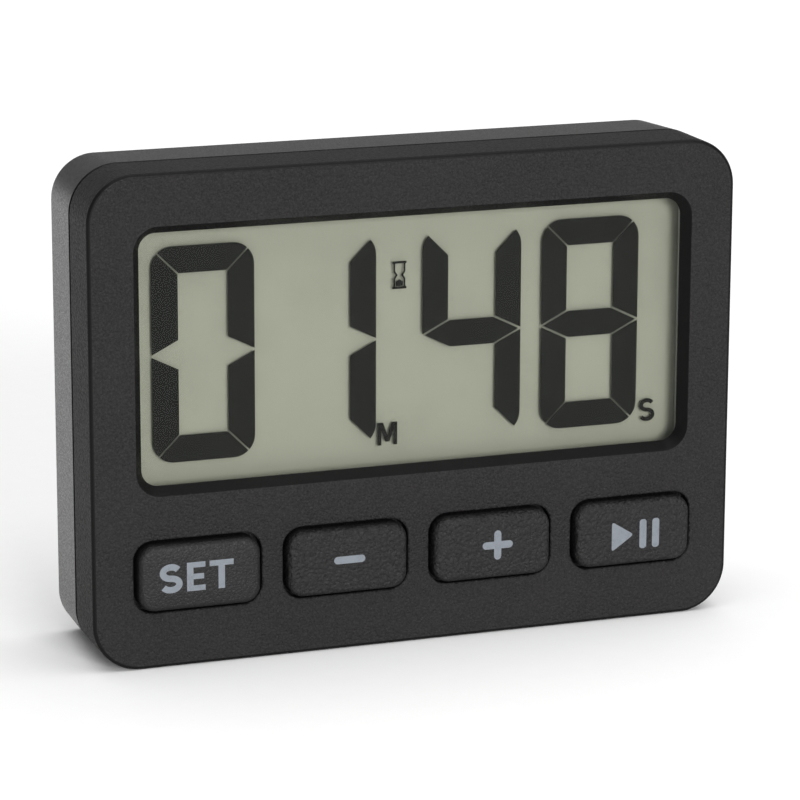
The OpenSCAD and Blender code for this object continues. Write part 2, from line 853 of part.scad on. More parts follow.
// Insulated lead from a contact, out through the end of the pocket and down to the board
module contact_lead(side) {
    out_x = side * (pocket_l / 2 + pocket_end + 2);
    seat()
        tube(bent([
            [side * pocket_l / 2, lead_d, lead_z],
            [out_x, lead_d, lead_z],
            [out_x, lead_d, board_z1 + 2.5],
            [out_x, board_back_d + 2.4, board_z1 - 2.5],
            [out_x, board_back_d, board_z1 - 2.5]
        ], 0.9), lead_r, [side * 0.3, 1, 0.25]);
}

module positive_lead() {
    color("red") contact_lead(1);
}

module negative_lead() {
    color("black") contact_lead(-1);
}

// Door flush with the rear face, with two tabs that hook under the wall below it
module battery_door() {
    color("gray") seat() {
        difference() {
            plate(door_w, door_h, door_r, door_d, body_d, door_z0);
            rod(0, door_z1 + 0.5, notch_r - 1.2, body_d - 0.7, body_d + over);
        }
        for (sx = [-1, 1]) {
            block(sx * tab_x - tab_w / 2, sx * tab_x + tab_w / 2,
                tab_d, door_d + over, door_z0 + 0.3, door_z0 + 1.5);
            block(sx * tab_x - tab_w / 2, sx * tab_x + tab_w / 2,
                tab_d, tab_d + tab_t, door_z0 - tab_reach, door_z0 + 1.5);
        }
    }
}

// Springy finger at the top of the door, with a nib that catches under the wall
module door_latch() {
    z1 = door_z1 - 0.2;
    color("gray") seat() {
        block(-latch_w / 2, latch_w / 2, door_d - latch_l, door_d, z1 - latch_t, z1);
        block(-latch_w / 2, latch_w / 2, rear_wall_d - 1.3, rear_wall_d - slack,
            z1 - latch_t, door_z1 + door_gap + nib);
    }
}

// ---- Stand, magnets and screws ----

// Flap that folds into the rear face, with a tail that stops it at its widest angle
module stand() {
    color("gray") seat() {
        block(-stand_w / 2, stand_w / 2, pivot_d_depth - stand_t / 2, pivot_d_depth + stand_t / 2,
            stand_z0, pivot_z);
        block(-stand_w / 2, stand_w / 2, pivot_d_depth - stand_t / 2, pivot_d_depth,
            pivot_z, pivot_z + tail_l);
        cross_rod(-stand_w / 2, stand_w / 2, pivot_d_depth, pivot_z, stand_t / 2);
        cross_rod(-stand_w / 2 - pin_l, stand_w / 2 + pin_l, pivot_d_depth, pivot_z, pivot_d / 2);
    }
}

module magnets() {
    color("silver") seat()
        for (sx = [-1, 1])
            rod(sx * magnet_x, magnet_z, magnet_d / 2, body_d - magnet_t, body_d);
}

// Screw with a domed head and a cross slot, head towards the back
module screw(at, tip_d, head_d) {
    slot_w = 0.5;
    slot_l = 2;
    slot_t = 0.6;
    difference() {
        union() {
            rod(at[0], at[1], screw_r, tip_d, head_d + over);
            rod(at[0], at[1], screw_head_r, head_d, head_d + screw_head_t);
        }
        translate([at[0], head_d + screw_head_t, at[1]]) {
            cube([slot_l, 2 * slot_t, slot_w], center = true);
            cube([slot_w, 2 * slot_t, slot_l], center = true);
        }
    }
}

module case_screws() {
    color("silver") seat()
        for (at = case_screw_at)
            screw(at, face_t + boss_blind + 0.3, seat_d);
}

module board_screws() {
    color("silver") seat()
        for (at = board_screw_at)
            screw(at, face_t + boss_blind + 0.3, board_back_d);
}

front_shell();
rear_shell();
display_window();
front_polariser();
front_glass();
lcd_segments();
rear_glass();
reflector();
lcd_frame();
zebra_strip();
circuit_board();
timer_chip();
quartz_crystal();
chip_parts();
keypad_mat();
dome_set();
dome_minus();
dome_plus();
dome_start();
button_set();
button_minus();
button_plus();
button_start();
pill_set();
pill_minus();
pill_plus();
pill_start();
buzzer_plate();
buzzer_ceramic();
buzzer_leads();
battery();
positive_contact();
negative_contact();
positive_lead();
negative_lead();
battery_door();
door_latch();
stand();
magnets();
case_screws();
board_screws();
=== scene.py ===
import math

import bmesh
import bpy
from mathutils import Matrix, Vector


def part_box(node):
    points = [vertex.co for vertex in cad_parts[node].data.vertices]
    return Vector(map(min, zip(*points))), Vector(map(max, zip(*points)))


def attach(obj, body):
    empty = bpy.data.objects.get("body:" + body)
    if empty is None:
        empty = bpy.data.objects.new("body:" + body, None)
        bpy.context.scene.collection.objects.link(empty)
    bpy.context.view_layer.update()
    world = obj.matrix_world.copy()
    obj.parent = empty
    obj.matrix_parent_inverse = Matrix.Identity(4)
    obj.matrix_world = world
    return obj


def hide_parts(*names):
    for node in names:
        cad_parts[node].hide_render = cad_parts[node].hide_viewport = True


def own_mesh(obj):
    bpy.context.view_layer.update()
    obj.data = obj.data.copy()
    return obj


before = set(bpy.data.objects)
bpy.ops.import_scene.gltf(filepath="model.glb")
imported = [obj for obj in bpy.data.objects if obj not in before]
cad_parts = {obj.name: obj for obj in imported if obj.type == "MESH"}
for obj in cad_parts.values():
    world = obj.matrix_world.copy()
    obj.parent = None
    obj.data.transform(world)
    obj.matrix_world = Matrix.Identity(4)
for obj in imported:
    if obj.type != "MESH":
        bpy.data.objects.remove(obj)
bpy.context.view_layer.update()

# ---- Front half of the case ----
# Injection-moulded ABS in near-black grey, spark-eroded all over so that it looks finely grained.
# One shell: the face with the sloped display recess and four button holes, the side walls with a
# rebate for the rear half's lip, and blind bosses that the screws cut into from behind.

mm = 0.001
face_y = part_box("front_shell")[0].y


def span(node):
    """A node's sides in mm: x0, x1, depth behind the face d0, d1, and z0, z1."""
    low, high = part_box(node)
    return (low.x / mm, high.x / mm, (low.y - face_y) / mm, (high.y - face_y) / mm,
            low.z / mm, high.z / mm)


def spot(x, d, z):
    """The place of a point given in mm, with its depth counted from the face."""
    return Vector((x * mm, face_y + d * mm, z * mm))


def corner(a, tip, b, steps=4):
    """Quarter round from a to b in place of the sharp corner tip, all (depth, growth) pairs."""
    turns = [math.pi / 2 * k / steps for k in range(steps + 1)]
    return [tuple(a[i] + b[i] - tip[i] + (tip[i] - b[i]) * math.cos(t) + (tip[i] - a[i]) * math.sin(t)
                  for i in (0, 1)) for t in turns]


def outline(w, h, r, d, x, z, steps=8):
    """Round-cornered rectangle at depth d round the centre x, z."""
    r = max(0.01, min(r, w / 2, h / 2))
    points = []
    for sx, sz, start in ((1, 1, 0), (-1, 1, 90), (-1, -1, 180), (1, -1, 270)):
        for k in range(steps + 1):
            a = math.radians(start + 90 * k / steps)
            points.append(spot(x + sx * (w / 2 - r) + r * math.cos(a), d,
                               z + sz * (h / 2 - r) + r * math.sin(a)))
    return points


def rows(w, h, r, x, z, profile, steps=8):
    """Outlines that follow a profile of (depth, growth) pairs outside a base rectangle."""
    return [outline(w + 2 * g, h + 2 * g, r + g, d, x, z, steps) for d, g in profile]


def round_rows(x, z, profile, steps=8):
    """Circles that follow a profile of (depth, radius) pairs round x, z."""
    return rows(0, 0, 0, x, z, profile, steps)


def skin(name, *stacks, ends=True):
    """Closed solid over each stack of outlines, with flat ends or joined round into a ring."""
    bm = bmesh.new()
    for stack in stacks:
        rings = [[bm.verts.new(p) for p in ring] for ring in stack]
        for one, two in zip(rings, rings[1:] if ends else rings[1:] + rings[:1]):
            for k in range(len(one)):
                bm.faces.new((one[k - 1], one[k], two[k], two[k - 1]))
        if ends:
            bm.faces.new(rings[0])
            bm.faces.new(rings[-1])
    bmesh.ops.remove_doubles(bm, verts=bm.verts, dist=2e-8)
    bmesh.ops.recalc_face_normals(bm, faces=bm.faces)
    mesh = bpy.data.meshes.new(name)
    bm.to_mesh(mesh)
    bm.free()
    piece = bpy.data.objects.new(name, mesh)
    bpy.context.scene.collection.objects.link(piece)
    return piece


def settle(piece):
    """Turns what the modifiers show into the piece's own plain mesh."""
    seen = bpy.context.evaluated_depsgraph_get()
    mesh = bpy.data.meshes.new_from_object(piece.evaluated_get(seen), depsgraph=seen)
    piece.modifiers.clear()
    piece.data = mesh
    mesh.name = piece.name
    return piece


def cut(piece, *tools, way="DIFFERENCE"):
    """Cuts the tools out of the piece, or welds them on with way UNION, and uses them up."""
    for tool in tools:
        step = piece.modifiers.new("cut", "BOOLEAN")
        step.operation, step.solver, step.object = way, "EXACT", tool
        settle(piece)
        bpy.data.objects.remove(tool)
    return piece


def finish_piece(piece, body, material, stands_for=(), crease=32):
    """Smooth shading with real creases, then the piece's finish and the body that it rides on."""
    bm = bmesh.new()
    bm.from_mesh(piece.data)
    bmesh.ops.remove_doubles(bm, verts=bm.verts, dist=1e-7)
    bmesh.ops.dissolve_degenerate(bm, edges=bm.edges, dist=1e-7)
    bm.to_mesh(piece.data)
    bm.free()
    piece.data.shade_smooth()
    piece.data.set_sharp_from_angle(angle=math.radians(crease))
    even = piece.modifiers.new("even", "WEIGHTED_NORMAL")
    even.keep_sharp = True
    settle(piece)
    piece.data.materials.clear()
    piece.data.materials.append(material)
    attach(piece, body)
    if stands_for:
        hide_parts(*stands_for)
    return piece


def grow(tree, kind, inputs=None, **settings):
    """Adds a node. An input is given as a value, or as the socket that feeds it."""
    made = tree.nodes.new(kind)
    for key, value in settings.items():
        setattr(made, key, value)
    for key, value in (inputs or {}).items():
        if isinstance(value, bpy.types.NodeSocket):
            tree.links.new(value, made.inputs[key])
        else:
            made.inputs[key].default_value = value
    return made


def put(tree, kind, inputs=None, **settings):
    """Adds a shader node."""
    return grow(tree, "ShaderNode" + kind, inputs, **settings)


def new_finish(name):
    """An empty material, its node tree and the piece's own coordinates."""
    material = bpy.data.materials.new(name)
    material.use_nodes = True
    material.node_tree.nodes.clear()
    tree = material.node_tree
    return material, tree, put(tree, "TexCoord").outputs["Object"]


def ramp(tree, source, low, high, from_low=0.0, from_high=1.0):
    """Colour or grey that runs from low to high as the source does."""
    made = put(tree, "ValToRGB", {"Fac": source})
    made.color_ramp.elements[0].position, made.color_ramp.elements[1].position = from_low, from_high
    made.color_ramp.elements[0].color, made.color_ramp.elements[1].color = low, high
    return made.outputs["Color"]


def grey(tree, source, low, high, from_low=0.0, from_high=1.0):
    """Number that runs from low to high as the source does."""
    return put(tree, "MapRange", {"Value": source, "From Min": from_low, "From Max": from_high,
                                  "To Min": low, "To Max": high}).outputs["Result"]


def noise(tree, place, scale, detail=2.0, rough=0.5):
    """Cloudy pattern between 0 and 1."""
    return put(tree, "TexNoise", {"Vector": place, "Scale": scale, "Detail": detail,
                                  "Roughness": rough}).outputs["Fac"]


def calc(tree, way, *values):
    """Result of one sum."""
    return put(tree, "Math", dict(enumerate(values)), operation=way).outputs[0]


def bumps(tree, height, depth, strength):
    """Surface relief that follows height, with its depth in mm."""
    return put(tree, "Bump", {"Strength": strength, "Distance": depth * mm,
                              "Height": height}).outputs["Normal"]


def surface(material, tree, inputs):
    """Ends a tree in one Principled shader."""
    shader = put(tree, "BsdfPrincipled", inputs)
    put(tree, "OutputMaterial", {"Surface": shader.outputs["BSDF"]})
    return material


def worn_edge(tree, place, reach, most):
    """Mask of the outer edges, broken up, where hands have polished the plastic."""
    soft = put(tree, "Bevel", {"Radius": reach * mm}, samples=4)
    true = put(tree, "NewGeometry")
    turn = put(tree, "VectorMath", {0: soft.outputs["Normal"], 1: true.outputs["Normal"]},
               operation="DOT_PRODUCT")
    patch = noise(tree, place, 900.0, 3.0)
    edge = grey(tree, turn.outputs["Value"], most, 0.0, 0.90, 0.995)
    return calc(tree, "MULTIPLY", edge, patch)


def moulded(name, dark, light, rough, grain, relief, polish=0.5, level=0.5):
    """Moulded plastic with an eroded grain: grain is its pitch and relief its depth, in mm."""
    material, tree, place = new_finish(name)
    cloud = noise(tree, place, 90.0, 4.0, 0.6)
    fine = noise(tree, place, 1 / (grain * mm), 2.0, 0.7)
    pit = put(tree, "TexVoronoi", {"Vector": place, "Scale": 0.6 / (grain * mm), "Smoothness": 0.6},
              feature="SMOOTH_F1")
    both = calc(tree, "ADD", fine, pit.outputs["Distance"])
    bump = bumps(tree, both, relief, 1.0)
    wear = worn_edge(tree, place, 0.25, polish)
    # The grain's light and dark specks are partly its own random tone and partly painted glints: colour
    # contrast that stands in for the grain's tiny highlights.
    speck_and_glint = ramp(tree, fine, dark, light, 0.38, 0.62)
    shade = put(tree, "MixRGB", {"Fac": grey(tree, cloud, 0.0, 0.3, 0.3, 0.7),
                                 "Color1": speck_and_glint, "Color2": light})
    colour = put(tree, "MixRGB", {"Fac": wear, "Color1": shade.outputs["Color"],
                                  "Color2": tuple(min(1, c * 2.2) for c in light[:3]) + (1.0,)})
    gloss = grey(tree, both, rough - 0.12, rough + 0.12, 0.6, 1.2)
    gloss = calc(tree, "SUBTRACT", gloss, calc(tree, "MULTIPLY", wear, 0.25))
    return surface(material, tree, {"Base Color": colour.outputs["Color"], "Roughness": gloss,
                                    "IOR": 1.5, "Specular IOR Level": level,
                                    "Normal": bump})


front_plastic = moulded("grained_case_plastic", (0.0002, 0.0002, 0.0002, 1), (0.0172, 0.0158, 0.0166, 1),
                        0.64, 0.19, 0.13, polish=0.1, level=0.28)

x0, x1, _, front_end, z0, z1 = span("front_shell")
case_w, case_h, case_mid = x1 - x0, z1 - z0, (z0 + z1) / 2
corner_r, wall, face_t, edge_r, rebate_wall = 5.4, 1.6, 1.3, 0.4, 0.7
rebate_d = front_end - 1.4
front_half = skin("front_shell_moulded", rows(case_w, case_h, corner_r, 0, case_mid, (
    corner((0, -edge_r), (0, 0), (edge_r, 0), 6)
    + corner((front_end - 0.1, 0), (front_end, 0), (front_end, -0.1), 2)
    + corner((front_end, -rebate_wall + 0.1), (front_end, -rebate_wall),
             (front_end - 0.1, -rebate_wall), 2)
    + [(rebate_d, -rebate_wall), (rebate_d, -wall)]
    + corner((face_t + 0.5, -wall), (face_t, -wall), (face_t, -wall - 0.5), 3)), 20))

# The display recess: its walls lean out to the face, and its rim is eased.
wx0, wx1, window_d, _, wz0, wz1 = span("display_window")
window_lap, slope = 1.5, 0.85
view_w, view_h = wx1 - wx0 - 2 * window_lap, wz1 - wz0 - 2 * window_lap
view_x, view_z, view_r = (wx0 + wx1) / 2, (wz0 + wz1) / 2, 1.9
recess = skin("recess", rows(view_w, view_h, view_r, view_x, view_z, (
    [(-0.3, slope + 0.14), (0, slope + 0.14), (0.02, slope + 0.07), (0.08, slope + 0.0)]
    + [(face_t - 0.12, 0.06), (face_t, 0), (face_t + 0.3, 0)]), 12))

# The button holes, with the moulded radius round each rim.
button_names = ("set", "minus", "plus", "start")
flange_lap, hole_r, rim_r = 0.5, 2.2, 0.22
button_spans = [span("button_" + name) for name in button_names]
hole_tools = []
for bx0, bx1, _, _, bz0, bz1 in button_spans:
    hole_tools.append(rows(bx1 - bx0 - 2 * flange_lap, bz1 - bz0 - 2 * flange_lap, hole_r,
                           (bx0 + bx1) / 2, (bz0 + bz1) / 2,
                           [(-0.3, rim_r)]
                           + [(rim_r * (1 - math.cos(t)), rim_r * (1 - math.sin(t)))
                              for t in [math.pi / 8 * k for k in range(5)]]
                           + [(face_t + 0.3, 0)], 10))
holes = skin("holes", *hole_tools)

# The screw bosses, each with its blind pilot hole.
board_d = span("circuit_board")[2]
boss_r, pilot_r, boss_blind, head_r = 1.75, 0.87, 0.8, 1.6
sx0, sx1, _, _, sz0, sz1 = span("case_screws")
case_screw_at = [(x, z) for z in (sz0 + head_r, sz1 - head_r) for x in (sx0 + head_r, sx1 - head_r)]
tx0, tx1, _, _, tz0, tz1 = span("board_screws")
board_screw_at = [(tx0 + head_r, tz1 - head_r), (tx1 - head_r, tz1 - head_r), (0, tz0 + head_r)]
bosses = skin("bosses", *[round_rows(x, z, [
    (face_t - 0.2, boss_r), (board_d - 0.15, boss_r), (board_d, boss_r - 0.15), (board_d, pilot_r),
    (face_t + boss_blind, pilot_r)]) for x, z in case_screw_at + board_screw_at])

cut(front_half, bosses, way="UNION")
cut(front_half, recess, holes)
finish_piece(front_half, "case", front_plastic, ["front_shell"])

# The walls of the recess and of the button holes and the eased outer edges get a near-black, almost
# ungrained
# finish: painted shade, standing in for the shade and dark reflections that these walls and edges show.
groove_edge = 0.11
edge_shade_black = moulded("smooth_edge_black", (0.002, 0.002, 0.002, 1), (0.0045, 0.0042, 0.0042, 1),
                     0.45, 0.12, 0.006, polish=0.1, level=0.12)
front_half.data.materials.append(edge_shade_black)
for face in front_half.data.polygons:
    at = face.center - spot(view_x, 0, view_z)
    in_recess = (abs(at.x) < (view_w / 2 + slope + 0.05) * mm
                 and abs(at.z) < (view_h / 2 + slope + 0.05) * mm)
    outside = (abs(at.x) > (case_w / 2 - wall - 0.3) * mm
               or abs(face.center.z - case_mid * mm) > (case_h / 2 - wall - 0.3) * mm)
    # Painted shade: the eased outer edges and the rim by the groove outside, the recess and hole walls
    # inside.
    if outside:
        in_shade = 0.003 * mm < at.y < edge_r * mm or at.y > (front_end - groove_edge) * mm
    else:
        in_shade = (0.03 if in_recess else rim_r) * mm < at.y < (face_t + 0.01) * mm
    face.material_index = int(in_shade)

# ---- Rear half of the case ----
# Same ABS in a smoother finish: walls that draw in a little towards the back, a lip that drops into
# the front half behind a dark shadow groove, and, moulded in one with it, the battery pocket, the
# screw columns, the buzzer ring, the magnet seats and the sunk bed of the stand.

rear_plastic = moulded("smooth_case_plastic", (0.0095, 0.0091, 0.0095, 1), (0.0145, 0.0139, 0.0145, 1),
                       0.35, 0.12, 0.004, polish=0.2, level=0.46)

back_d = span("rear_shell")[3]
rear_start, draft, rear_wall_d = front_end + 0.4, 0.5, back_d - 1.6


def rear_ring(d, g, steps=20):
    """Outline of the rear half at depth d, which draws in on both sides and at the top."""
    k = max(0.0, min(1.0, (d - rear_start) / (back_d - 0.3 - rear_start)))
    return outline(case_w - 2 * draft * k + 2 * g, case_h - draft * k + 2 * g, corner_r - draft * k + g,
                   d, 0, case_mid - draft * k / 2, steps)


lip_d = rebate_d + 0.1
rear_half = skin("rear_shell_moulded", [rear_ring(d, g) for d, g in (
    corner((back_d, -0.45), (back_d, 0), (back_d - 0.45, 0), 6)
    + corner((rear_start + 0.1, 0), (rear_start, 0), (rear_start, -0.1), 2)
    + corner((rear_start, -0.7), (rear_start, -0.8), (rear_start - 0.1, -0.8), 2)
    + corner((lip_d + 0.15, -0.8), (lip_d, -0.8), (lip_d, -0.95), 2)
    + corner((lip_d, -wall + 0.15), (lip_d, -wall), (lip_d + 0.15, -wall), 2)
    + corner((rear_wall_d - 0.4, -wall), (rear_wall_d, -wall), (rear_wall_d, -wall - 0.4), 3))])

battery_x0, battery_x1, battery_d0, battery_d1, battery_z0, battery_z1 = span("battery")
pocket_x = span("positive_contact")[1]
battery_z, battery_d = (battery_z0 + battery_z1) / 2, (battery_d0 + battery_d1) / 2
pocket_h = battery_z1 - battery_z0 + 0.3
pocket_d = battery_d0 - 0.15
board_back = span("circuit_board")[3]
column_r, well_r, well_floor = 2.6, 2.05, board_back + 2
plate_at = span("buzzer_plate")
ring_x, ring_z = (plate_at[0] + plate_at[1]) / 2, (plate_at[4] + plate_at[5]) / 2
ring_r = (plate_at[1] - plate_at[0]) / 2
seat_x0, seat_x1, seat_d, _, seat_z0, seat_z1 = span("magnets")
magnet_r = (seat_z1 - seat_z0) / 2
magnet_at = [(seat_x0 + magnet_r, (seat_z0 + seat_z1) / 2), (seat_x1 - magnet_r, (seat_z0 + seat_z1) / 2)]
stand_x0, stand_x1, stand_d0, stand_d1, stand_z0, stand_z1 = span("stand")
stand_half = (stand_x1 - stand_x0) / 2 - 1.2
pivot_d, pivot_z = stand_d1 - 1.0, stand_z1 - 1.5
bed_w, bed_z0, bed_z1, bed_d = 2 * stand_half + 0.4, stand_z0 - 0.2, pivot_z + 2.0, stand_d0 - 0.2

inner_walls = [
    skin("pocket_walls", rows(2 * pocket_x + 2, pocket_h + 2, 0.3, 0, battery_z,
                              [(pocket_d - 0.8, -0.15), (pocket_d - 0.65, 0), (rear_wall_d + 0.4, 0)], 3)),
    skin("screw_columns", *[round_rows(x, z, [
        (board_back, column_r - 0.15), (board_back + 0.15, column_r), (rear_wall_d + 0.4, column_r)])
        for x, z in case_screw_at]),
    skin("buzzer_ring", round_rows(ring_x, ring_z, [
        (rear_wall_d - 1.5, ring_r - 1), (rear_wall_d - 1.5, ring_r), (rear_wall_d + 0.4, ring_r)], 14)),
    skin("bed_walls", rows(bed_w + 2, bed_z1 - bed_z0 + 2, 0.8, 0, (bed_z0 + bed_z1) / 2,
                           [(bed_d - 1, 0), (rear_wall_d + 0.4, 0)], 4)),
    skin("deep_end_walls", rows(bed_w + 1.9, bed_z1 - pivot_z + 4.5, 0.8, 0, (pivot_z - 2.6 + bed_z1) / 2,
                                [(bed_d - 1.55, 0), (bed_d - 0.5, 0)], 4)),
    skin("magnet_seats", *[round_rows(x, z, [
        (seat_d - 0.8, magnet_r + 0.7), (seat_d - 0.6, magnet_r + 0.9),
        (rear_wall_d + 0.4, magnet_r + 0.9)], 10) for x, z in magnet_at])]
for walls in inner_walls:
    cut(rear_half, walls, way="UNION")


def rim(d, radius, steps=4):
    """Outer end of a cutter whose opening in the back gets a moulded radius."""
    return [(d - radius * (1 - math.cos(t)), radius * (1 - math.sin(t)))
            for t in [math.pi / 2 * (1 - k / steps) for k in range(steps + 1)]] + [(d + 0.3, radius)]


def box_tool(name, *boxes):
    """Square-cornered cutters, each given by x0, x1, d0, d1, z0, z1."""
    return skin(name, *[rows(b[1] - b[0], b[5] - b[4], 0.05, (b[0] + b[1]) / 2, (b[4] + b[5]) / 2,
                             [(b[2], 0), (b[3], 0)], 1) for b in boxes])


def rows_x(w, h, r, d, z, profile, steps=8):
    """Outlines stacked along X: w is their size in depth and h their height."""
    made = []
    for x, g in profile:
        ring = outline(w + 2 * g, h + 2 * g, r + g, 0, 0, 0, steps)
        made.append([spot(x, d + p.x / mm, z + p.z / mm) for p in ring])
    return made


door_x0, door_x1, hook_d, _, hook_z0, door_z1 = span("battery_door")
door_w, door_d, door_z0 = door_x1 - door_x0, back_d - 1.3, hook_z0 + 1.2
door_h, door_z, door_r, door_gap = door_z1 - door_z0, (door_z0 + door_z1) / 2, 1.2, 0.15
hook_x, hook_w, hook_h, slot_half = pocket_x - 6, 6, 2.69, 3.1
latch_x0, latch_x1, latch_d0, _, _, latch_z1 = span("door_latch")

cut(rear_half,
    skin("battery_pocket", rows(2 * pocket_x, pocket_h, 0.6, 0, battery_z, [
        (pocket_d, -0.3), (pocket_d + 0.1, -0.1), (pocket_d + 0.3, 0), (back_d + 0.4, 0)], 4)),
    skin("door_opening", rows(door_w + 2 * door_gap, door_h + 2 * door_gap, door_r + door_gap, 0, door_z,
                              [(door_d, 0)] + rim(back_d, 0.22))),
    box_tool("hook_slots", *[(s * hook_x - slot_half, s * hook_x + slot_half, hook_d - 1.6, door_d + 0.1,
                              hook_z0 - 0.3, battery_z) for s in (-1, 1)]),
    box_tool("hook_ways", *[(s * hook_x - slot_half, s * hook_x + slot_half, rear_wall_d - 0.2,
                             back_d + 0.2, door_z0 - door_gap, battery_z) for s in (-1, 1)]),
    box_tool("latch_catch", (latch_x0 - 0.1, latch_x1 + 0.1, latch_d0 - 0.2, rear_wall_d,
                             battery_z, latch_z1 + 0.1)),
    box_tool("latch_way", (latch_x0 - 0.1, latch_x1 + 0.1, latch_d0 - 0.25, door_d + 0.1,
                           battery_z, door_z1 + door_gap)),
    skin("thumb_notch", round_rows(0, door_z1 + 0.5, [
        (back_d - 0.7, 4.7), (back_d - 0.62, 4.92)] + [(d, 5 + g) for d, g in rim(back_d, 0.25)], 12)),
    skin("screw_wells", *[round_rows(x, z, [
        (board_back - 0.2, 1.1), (well_floor, 1.1), (well_floor, well_r)]
        + [(d, well_r + g) for d, g in rim(back_d, 0.25)], 6) for x, z in case_screw_at]),
    skin("ring_hollow", round_rows(ring_x, ring_z, [
        (rear_wall_d - 1.8, ring_r - 1), (rear_wall_d, ring_r - 1)], 14)),
    skin("stand_bed", rows(bed_w, bed_z1 - bed_z0, 0.4, 0, (bed_z0 + bed_z1) / 2, [
        (bed_d, -0.15), (bed_d + 0.15, 0)] + rim(back_d, 0.2), 4)),
    skin("bed_deep_end", rows(bed_w - 0.02, bed_z1 - pivot_z + 2.6, 0.4, 0, (pivot_z - 2.6 + bed_z1) / 2,
                              [(bed_d - 0.55, -0.1), (bed_d - 0.45, 0), (bed_d + 0.5, 0)], 4)),
    skin("pivot_bores", rows_x(0, 0, 0, pivot_d, pivot_z, [(-stand_half - 1.4, 0.85),
                                                           (stand_half + 1.4, 0.85)], 5)),
    skin("finger_scoop", rows(11, 2.6, 0.8, 0, stand_z0 - 0.3, [
        (back_d - 2, -0.4), (back_d - 1.6, 0)] + rim(back_d, 0.25), 6)),
    skin("magnet_holes", *[round_rows(x, z, [
        (seat_d, magnet_r + 0.05)] + [(d, magnet_r + 0.05 + g) for d, g in rim(back_d, 0.12)], 14)
        for x, z in magnet_at]),
    skin("lead_bores", *[rows_x(0, 0, 0, battery_d - 2.8, battery_z - 2,
                                [(s * (pocket_x - 0.5), 0.55), (s * (pocket_x + 1.5), 0.55)], 4)
                         for s in (-1, 1)]))


def new_tree(name, inputs):
    """A geometry tree with the named inputs and a finish, and the sockets that it is given."""
    tree = bpy.data.node_groups.new(name, "GeometryNodeTree")
    for label, kind in {"Geometry": "Geometry", **inputs, "Finish": "Material"}.items():
        tree.interface.new_socket(label, in_out="INPUT", socket_type="NodeSocket" + kind)
    tree.interface.new_socket("Geometry", in_out="OUTPUT", socket_type="NodeSocketGeometry")
    return tree, grow(tree, "NodeGroupInput").outputs


def end_tree(tree, given, made):
    """Ends a geometry tree in real geometry that wears the given finish."""
    real = grow(tree, "GeometryNodeRealizeInstances", {0: made.outputs[0]})
    painted = grow(tree, "GeometryNodeSetMaterial", {0: real.outputs[0], "Material": given["Finish"]})
    grow(tree, "NodeGroupOutput", {0: painted.outputs[0]})


# Sound holes: one in the middle of the buzzer and eight on a circle round it.
hole_tree, given = new_tree("sound_holes", {"Hole Radius": "Float", "Circle Radius": "Float",
                                            "Holes On Circle": "Int", "Depth": "Float"})
circle = grow(hole_tree, "GeometryNodeMeshCircle", {"Vertices": given["Holes On Circle"],
                                                   "Radius": given["Circle Radius"]})
middle = grow(hole_tree, "GeometryNodeMeshLine", {"Count": 1})
places = grow(hole_tree, "GeometryNodeJoinGeometry")
hole_tree.links.new(circle.outputs[0], places.inputs[0])
hole_tree.links.new(middle.outputs[0], places.inputs[0])
drill = grow(hole_tree, "GeometryNodeMeshCylinder", {"Vertices": 24, "Radius": given["Hole Radius"],
                                                    "Depth": given["Depth"]})
drills = grow(hole_tree, "GeometryNodeInstanceOnPoints", {"Points": places.outputs[0],
                                                         "Instance": drill.outputs[0]})
end_tree(hole_tree, given, drills)


def grown(name, tree, values, points=()):
    """Plain mesh of what a geometry tree makes from the named values, on the points if it uses any."""
    mesh = bpy.data.meshes.new(name)
    mesh.from_pydata(list(points), [], [])
    piece = bpy.data.objects.new(name, mesh)
    bpy.context.scene.collection.objects.link(piece)
    step = piece.modifiers.new(name, "NODES")
    step.node_group = tree
    names = {item.name: item.identifier for item in tree.interface.items_tree if item.in_out == "INPUT"}
    for key, value in values.items():
        step[names[key]] = value
    return settle(piece)


drilled = grown("sound_drill", hole_tree, {
    "Hole Radius": 0.6 * mm, "Circle Radius": 0.19 * 2 * ring_r * mm, "Holes On Circle": 8,
    "Depth": 3.2 * mm, "Finish": rear_plastic})
for vertex in drilled.data.vertices:
    p = vertex.co.copy()
    vertex.co = spot(ring_x, rear_wall_d + 0.8, ring_z) + Vector((p.x, -p.z, p.y))
cut(rear_half, drilled)
finish_piece(rear_half, "case", rear_plastic, ["rear_shell"])

# Its front edge and lip, in the shadow groove, get the same near-black painted shade as the front half's
# edges.
rear_half.data.materials.append(edge_shade_black)
for face in rear_half.data.polygons:
    face.material_index = int(face.center.y < spot(0, rear_start + groove_edge, 0).y)

# ---- Push buttons ----
# Four loose caps of the same ABS with a crowned top and soft edges. A flange behind the face keeps
# each cap in its hole and a post presses the rubber dome. The signs are pad-printed in pale grey.

cap_gap = 0.37
cap_crown = [(0.02, -3.4), (0.02, -2.0), (0.045, -1.3), (0.10, -0.62)]
cap_plastics = {
    "set": moulded("smooth_cap_plastic", (0.0015, 0.0014, 0.0014, 1), (0.0078, 0.0072, 0.0075, 1),
                   0.50, 0.16, 0.05, polish=0.2, level=0.30),
    "other": moulded("grained_cap_plastic", (0.0005, 0.0005, 0.0005, 1), (0.0105, 0.0097, 0.0100, 1),
                     0.52, 0.25, 0.16, polish=0.2, level=0.30)}

